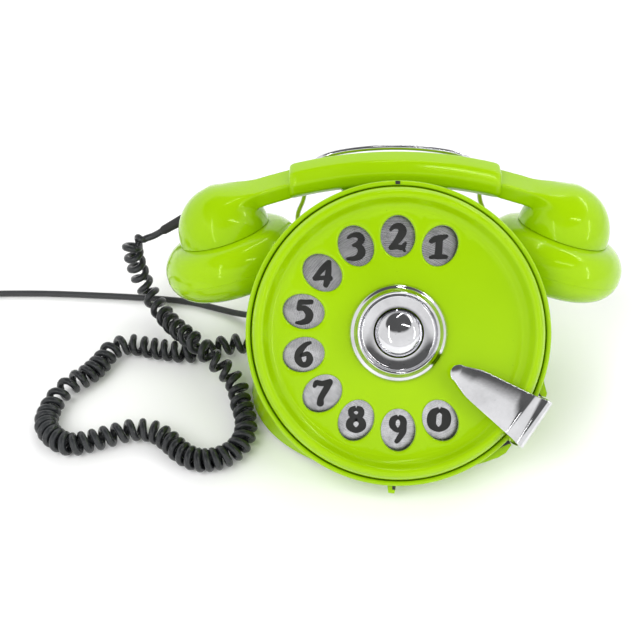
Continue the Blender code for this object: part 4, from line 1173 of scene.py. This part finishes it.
def shell_rings(inset, count=176, levels=24):
    """Rings from the dial's rim down to the foot, each point on a quadratic curve."""
    dial_in_body = BODY.inverted() @ DIAL
    rings = []
    for step in range(levels + 1):
        level = step / levels
        ring = []
        for index in range(count):
            angle = 2 * math.pi * index / count
            radius = BEZEL_RADIUS - 0.0006 - inset
            rim = Vector((radius * math.cos(angle), radius * math.sin(angle), BEZEL_BOTTOM_Z - GAP))
            depth = 0.004 + 0.011 * (1 + math.sin(angle))
            back = Vector((rim.x * SHELL_PINCH, rim.y * 0.97, rim.z - depth))
            top = dial_in_body @ rim
            bottom = foot_point(angle, inset) + Vector((0, 0, SHELL_BOTTOM_Z))
            waist = (dial_in_body @ back).lerp(bottom, 0.12)
            ring.append(top * (1 - level) ** 2 + waist * 2 * level * (1 - level) + bottom * level ** 2)
        rings.append(ring)
    return rings


def add_housing():
    rings = shell_rings(0.0) + shell_rings(WALL)[::-1]
    shell = new_piece("housing_moulding", skin(rings, loop=True), LIME, BODY)
    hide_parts("base_shell")
    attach(shell, "root")


HANDLE_ROUTE = [
    (-0.046, 0.086, 0.024), (-0.046, 0.097, 0.024), (-0.050, 0.106, 0.030), (-0.0555, 0.111, 0.045),
    (-0.0565, 0.112, 0.066), (-0.0525, 0.112, 0.080), (-0.0500, 0.112, 0.095), (-0.0450, 0.112, 0.1065),
    (-0.0350, 0.112, 0.1122), (-0.0180, 0.112, 0.1155), (0.0, 0.112, 0.1165),
]


def add_handle():
    left = [Vector(point) for point in HANDLE_ROUTE]
    right = [Vector((-point.x, point.y, point.z)) for point in reversed(left[:-1])]
    line = smooth_route(left + right, 0.002)
    handle = new_piece("wire_handle", skin(swept(line, 0.0016, 20), capped=True), CHROME, BODY)
    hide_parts("carry_handle")
    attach(handle, "root")


def add_small_turned_parts():
    """Feet, plungers and the rubber collars where the cords leave the housing."""
    aim_left = Matrix.Rotation(-math.pi / 2, 4, "Y")
    line_aim = Vector((0, 0, 1)).rotation_difference(Vector((-0.034, 0.010, 0))).to_matrix().to_4x4()
    foot = [[(0.0, 0.0030), (0.0075, 0.0030)], [(0.0075, 0.0030), (0.0075, 0.0010)],
            [(0.0075, 0.0010), (0.0073, 0.0004), (0.0066, 0.0)], [(0.0066, 0.0), (0.0, 0.0)]]
    screw = [[(0.0, 0.0030), (0.0035, 0.0030)], [(0.0035, 0.0030), (0.0035, 0.0022)],
             [(0.0035, 0.0022), (0.0030, 0.0016), (0.0020, 0.0014)], [(0.0020, 0.0014), (0.0, 0.0014)]]
    plunger = [[(0.0, 0.0), (0.0026, 0.0)], [(0.0026, 0.0), (0.0026, 0.0148)],
               [(0.0026, 0.0148), (0.0023, 0.0158), (0.0013, 0.0163), (0.0, 0.0164)]]
    curly_collar = [[(0.0022, 0.0070), (0.0034, 0.0069)]]
    for rib in range(2):
        z = 0.0069 - 0.0024 * rib
        radius = 0.0036 + 0.0004 * rib
        curly_collar += [[(curly_collar[-1][-1]), (radius, z - 0.0002)], [(radius, z - 0.0002), (radius,
                                                                                                 z - 0.0012)],
                         [(radius, z - 0.0012), (radius * 0.86, z - 0.0014)],
                         [(radius * 0.86, z - 0.0014), (radius * 0.86, z - 0.0022)]]
    curly_collar += [[curly_collar[-1][-1], (0.0046, 0.0016)],
                     [(0.0046, 0.0016), (0.0049, 0.0012), (0.0049, 0.0004)],
                     [(0.0049, 0.0004), (0.0049, -0.0080)],
                     [(0.0049, -0.0080), (0.0022, -0.0080)], [(0.0022, -0.0080), (0.0022, 0.0070)]]
    line_collar = [[(0.0021, 0.0120), (0.0029, 0.0119)], [(0.0029, 0.0119), (0.0034, 0.0085), (0.0040,
                                                                                               0.0050)],
                   [(0.0040, 0.0050), (0.0044, 0.0037)], [(0.0044, 0.0037), (0.0044, -0.0080)],
                   [(0.0044, -0.0080), (0.0021, -0.0080)], [(0.0021, -0.0080), (0.0021, 0.0120)]]
    rows = [
        ("handset_cord_grommet", curly_collar, RUBBER, "rubber", "root", CURLY_GROMMET, aim_left, True),
        ("line_cord_grommet", line_collar, RUBBER, "rubber", "root", (-0.0583, 0.0770, 0.0105), line_aim,
         True),
    ]
    for name, x, y in (("front_left", -0.046, -0.014), ("front_right", 0.046, -0.014),
                       ("rear_left", -0.044, 0.070), ("rear_right", 0.044, 0.070)):
        rows.append(("foot_" + name, foot, RUBBER, "rubber", "root", (x, y, 0), Matrix.Identity(4), False))
    for name, side in (("left", -1), ("right", 1)):
        rows.append(("base_screw_" + name, screw, STEEL, "steel", "root", (side * 0.024, 0.020, 0),
                     Matrix.Identity(4), False))
        rows.append(("hook_plunger_" + name, plunger, CHROME, "chrome", "hook", (side * 0.014, 0.092, 0.0903),
                     Matrix.Identity(4), False))
    for node, runs, mat, slot, body, place, turn, closed in rows:
        frame_of_piece = BODY @ Matrix.Translation(place) @ turn
        piece = turned(node + "_turned", runs, mat, frame_of_piece, steps=48, closed=closed)
        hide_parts(node)
        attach(piece, body)


add_housing()
add_handle()
add_small_turned_parts()


# ---- handset -------------------------------------------------------------------------------
ARM_X = (0.0560, 0.0596, 0.0720, 0.0830, 0.0900, 0.1000)
ARM_Z = (-0.0086, -0.0100, -0.0140, -0.0184, -0.0222, -0.0290)
ARM_HALF_WIDTH = (0.0082, 0.00825, 0.0084, 0.0089, 0.0095, 0.0105)
ARM_HALF_HEIGHT = (0.0047, 0.00475, 0.00485, 0.0052, 0.0056, 0.0060)
ARM_EDGE = 0.0012


def cup_turn(side):
    return Matrix.Rotation(CUP_LEAN, 3, "X") @ Matrix.Rotation(side * CUP_TILT, 3, "Y")


def cup_in_handset(side):
    place = Matrix.Translation((side * CUP_PLACE.x, CUP_PLACE.y, CUP_PLACE.z))
    return place @ cup_turn(side).to_4x4()


def shell_field(points, side):
    """Distance to one end of the handset: a flattened dome and a flat bar that melts into its crown."""
    x = side * points[..., 0]
    y = points[..., 1]
    z = points[..., 2]
    local = (points * (side, 1, 1) - np.array(CUP_PLACE)) @ np.array(cup_turn(1))
    dome_x = local[..., 0] / BULB_RADIUS
    dome_y = local[..., 1] / BULB_RADIUS
    dome_z = local[..., 2] / BULB_HEIGHT
    near = np.sqrt(dome_x ** 2 + dome_y ** 2 + dome_z ** 2)
    far = np.sqrt((dome_x / BULB_RADIUS) ** 2 + (dome_y / BULB_RADIUS) ** 2 + (dome_z / BULB_HEIGHT) ** 2)
    dome = near * (near - 1) / np.maximum(far, 1e-6)
    middle = np.interp(x, ARM_X, ARM_Z)
    half_height = np.interp(x, ARM_X, ARM_HALF_HEIGHT)
    past_side = np.abs(y) - (np.interp(x, ARM_X, ARM_HALF_WIDTH) - ARM_EDGE)
    past_top = np.abs(z - middle) * 0.95 - (half_height - ARM_EDGE)
    bar = np.hypot(np.maximum(past_side, 0), np.maximum(past_top, 0))
    bar = bar + np.minimum(np.maximum(past_side, past_top), 0) - ARM_EDGE
    bar = np.maximum(bar, x - ARM_X[-1])
    height = np.clip((z - middle) / (2 * half_height) + 0.5, 0, 1)
    melt = 0.0012 + 0.0090 * height
    share = np.clip(0.5 + 0.5 * (bar - dome) / melt, 0, 1)
    return bar * (1 - share) + dome * share - melt * share * (1 - share)


def add_handset_shell(name, side):
    low = (0.054, -0.038, -0.064) if side > 0 else (-0.130, -0.038, -0.064)
    high = (0.130, 0.026, 0.002) if side > 0 else (-0.054, 0.026, 0.002)
    shape = surface_net(lambda points: shell_field(points, side), low, high, 0.0011)
    local_seam = cup_in_handset(side)
    down = local_seam.to_3x3() @ Vector((0, 0, -1))
    inside_grip = (Vector((side * 0.0575, 0, 0)), Vector((-side, 0, 0)))
    shape = sliced(shape, [(local_seam.translation, down), inside_grip])
    shell = new_piece("handset_moulding_" + name, shape, LIME, HANDSET, sharp=32)
    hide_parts("handset_shell_" + name)
    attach(shell, "handset")


CAP_RUNS = [
    [(0.0, -0.0312), (0.0262, -0.0294), (0.0350, -0.0240), (0.0374, -0.0167), (0.0335, -0.0060), (0.0241,
                                                                                                  -0.0035)],
    [(0.0241, -0.0035), (0.0241, -0.0003)], [(0.0241, -0.0003), (0.0266, -0.0003)],
    [(0.0266, -0.0003), (0.0285, -0.0007), (0.0311, -0.0015), (0.0340, -0.0030), (0.0368, -0.0056),
     (0.0390, -0.0090), (0.0403, -0.0128), (0.0407, -0.0176)],
    [(0.0407, -0.0176), (0.0405, -0.0178), (0.0406, -0.0182)],
    [(0.0406, -0.0182), (0.0398, -0.0220), (0.0378, -0.0257), (0.0344, -0.0290), (0.0290, -0.0316),
     (0.0210, -0.0330), (0.0100, -0.0336), (0.0, -0.0337)],
]


def add_caps():
    for node, side in (("mouth_cap", -1), ("ear_cap", 1)):
        cap = turned(node + "_turned", CAP_RUNS, LIME, HANDSET @ cup_in_handset(side), steps=144)
        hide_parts(node)
        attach(cap, "handset")


def grip_section(width, height, cut, edge):
    """A rectangle with wide slanting corners, each new corner slightly rounded."""
    corners = []
    for side_x, side_z, swapped in ((1, 1, False), (-1, 1, True), (-1, -1, False), (1, -1, True)):
        low_first = (side_x * width / 2, side_z * (height / 2 - cut))
        high_first = (side_x * (width / 2 - cut), side_z * height / 2)
        corners += [high_first, low_first] if swapped else [low_first, high_first]
    points = []
    count = len(corners)
    for index in range(count):
        corner = Vector(corners[index])
        before = (Vector(corners[index - 1]) - corner).normalized() * edge
        after = (Vector(corners[(index + 1) % count]) - corner).normalized() * edge
        for step in range(5):
            t = step / 4
            points.append(corner + before * (1 - t) ** 2 + after * t ** 2)
    return points


def add_grip():
    section = grip_section(0.021, 0.017, 0.0052, 0.0017)
    shares = [(-1.0, 0.80), (-0.998, 0.86), (-0.992, 0.92), (-0.980, 0.965), (-0.962, 0.99), (-0.940, 1.0)]
    shares += [(-0.92 + 1.84 * step / 30, 1.0) for step in range(31)]
    shares += [(-share, scale) for share, scale in reversed(shares[:6])]
    rings = []
    for share, scale in shares:
        drop = -GRIP_ARCH * share ** 2
        rings.append([(share * GRIP_HALF_LENGTH, point.x * scale,
                       drop + point.y * scale) for point in section])
    grip = new_piece("grip_moulding", skin(rings, capped=True), LIME, HANDSET, sharp=50)
    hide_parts("grip_sleeve")
    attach(grip, "handset")


def add_strain_relief():
    """The soft sleeve that carries the curly cord out of the mouthpiece end."""
    start = BODY @ STRAIN_START
    end = BODY @ STRAIN_END
    points = [start.lerp(end, step / 24) for step in range(25)]
    radii = [0.0036 - 0.0009 * step / 24 for step in range(25)]
    radii[-1] = radii[-1] - 0.0005
    relief = new_piece("strain_relief_sleeve", skin(swept(points, radii, 24), capped=True), RUBBER)
    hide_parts("handset_strain_relief")
    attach(relief, "handset")


for SIDE_NAME, SIDE in (("left", -1), ("right", 1)):
    add_handset_shell(SIDE_NAME, SIDE)
add_caps()
add_grip()
add_strain_relief()
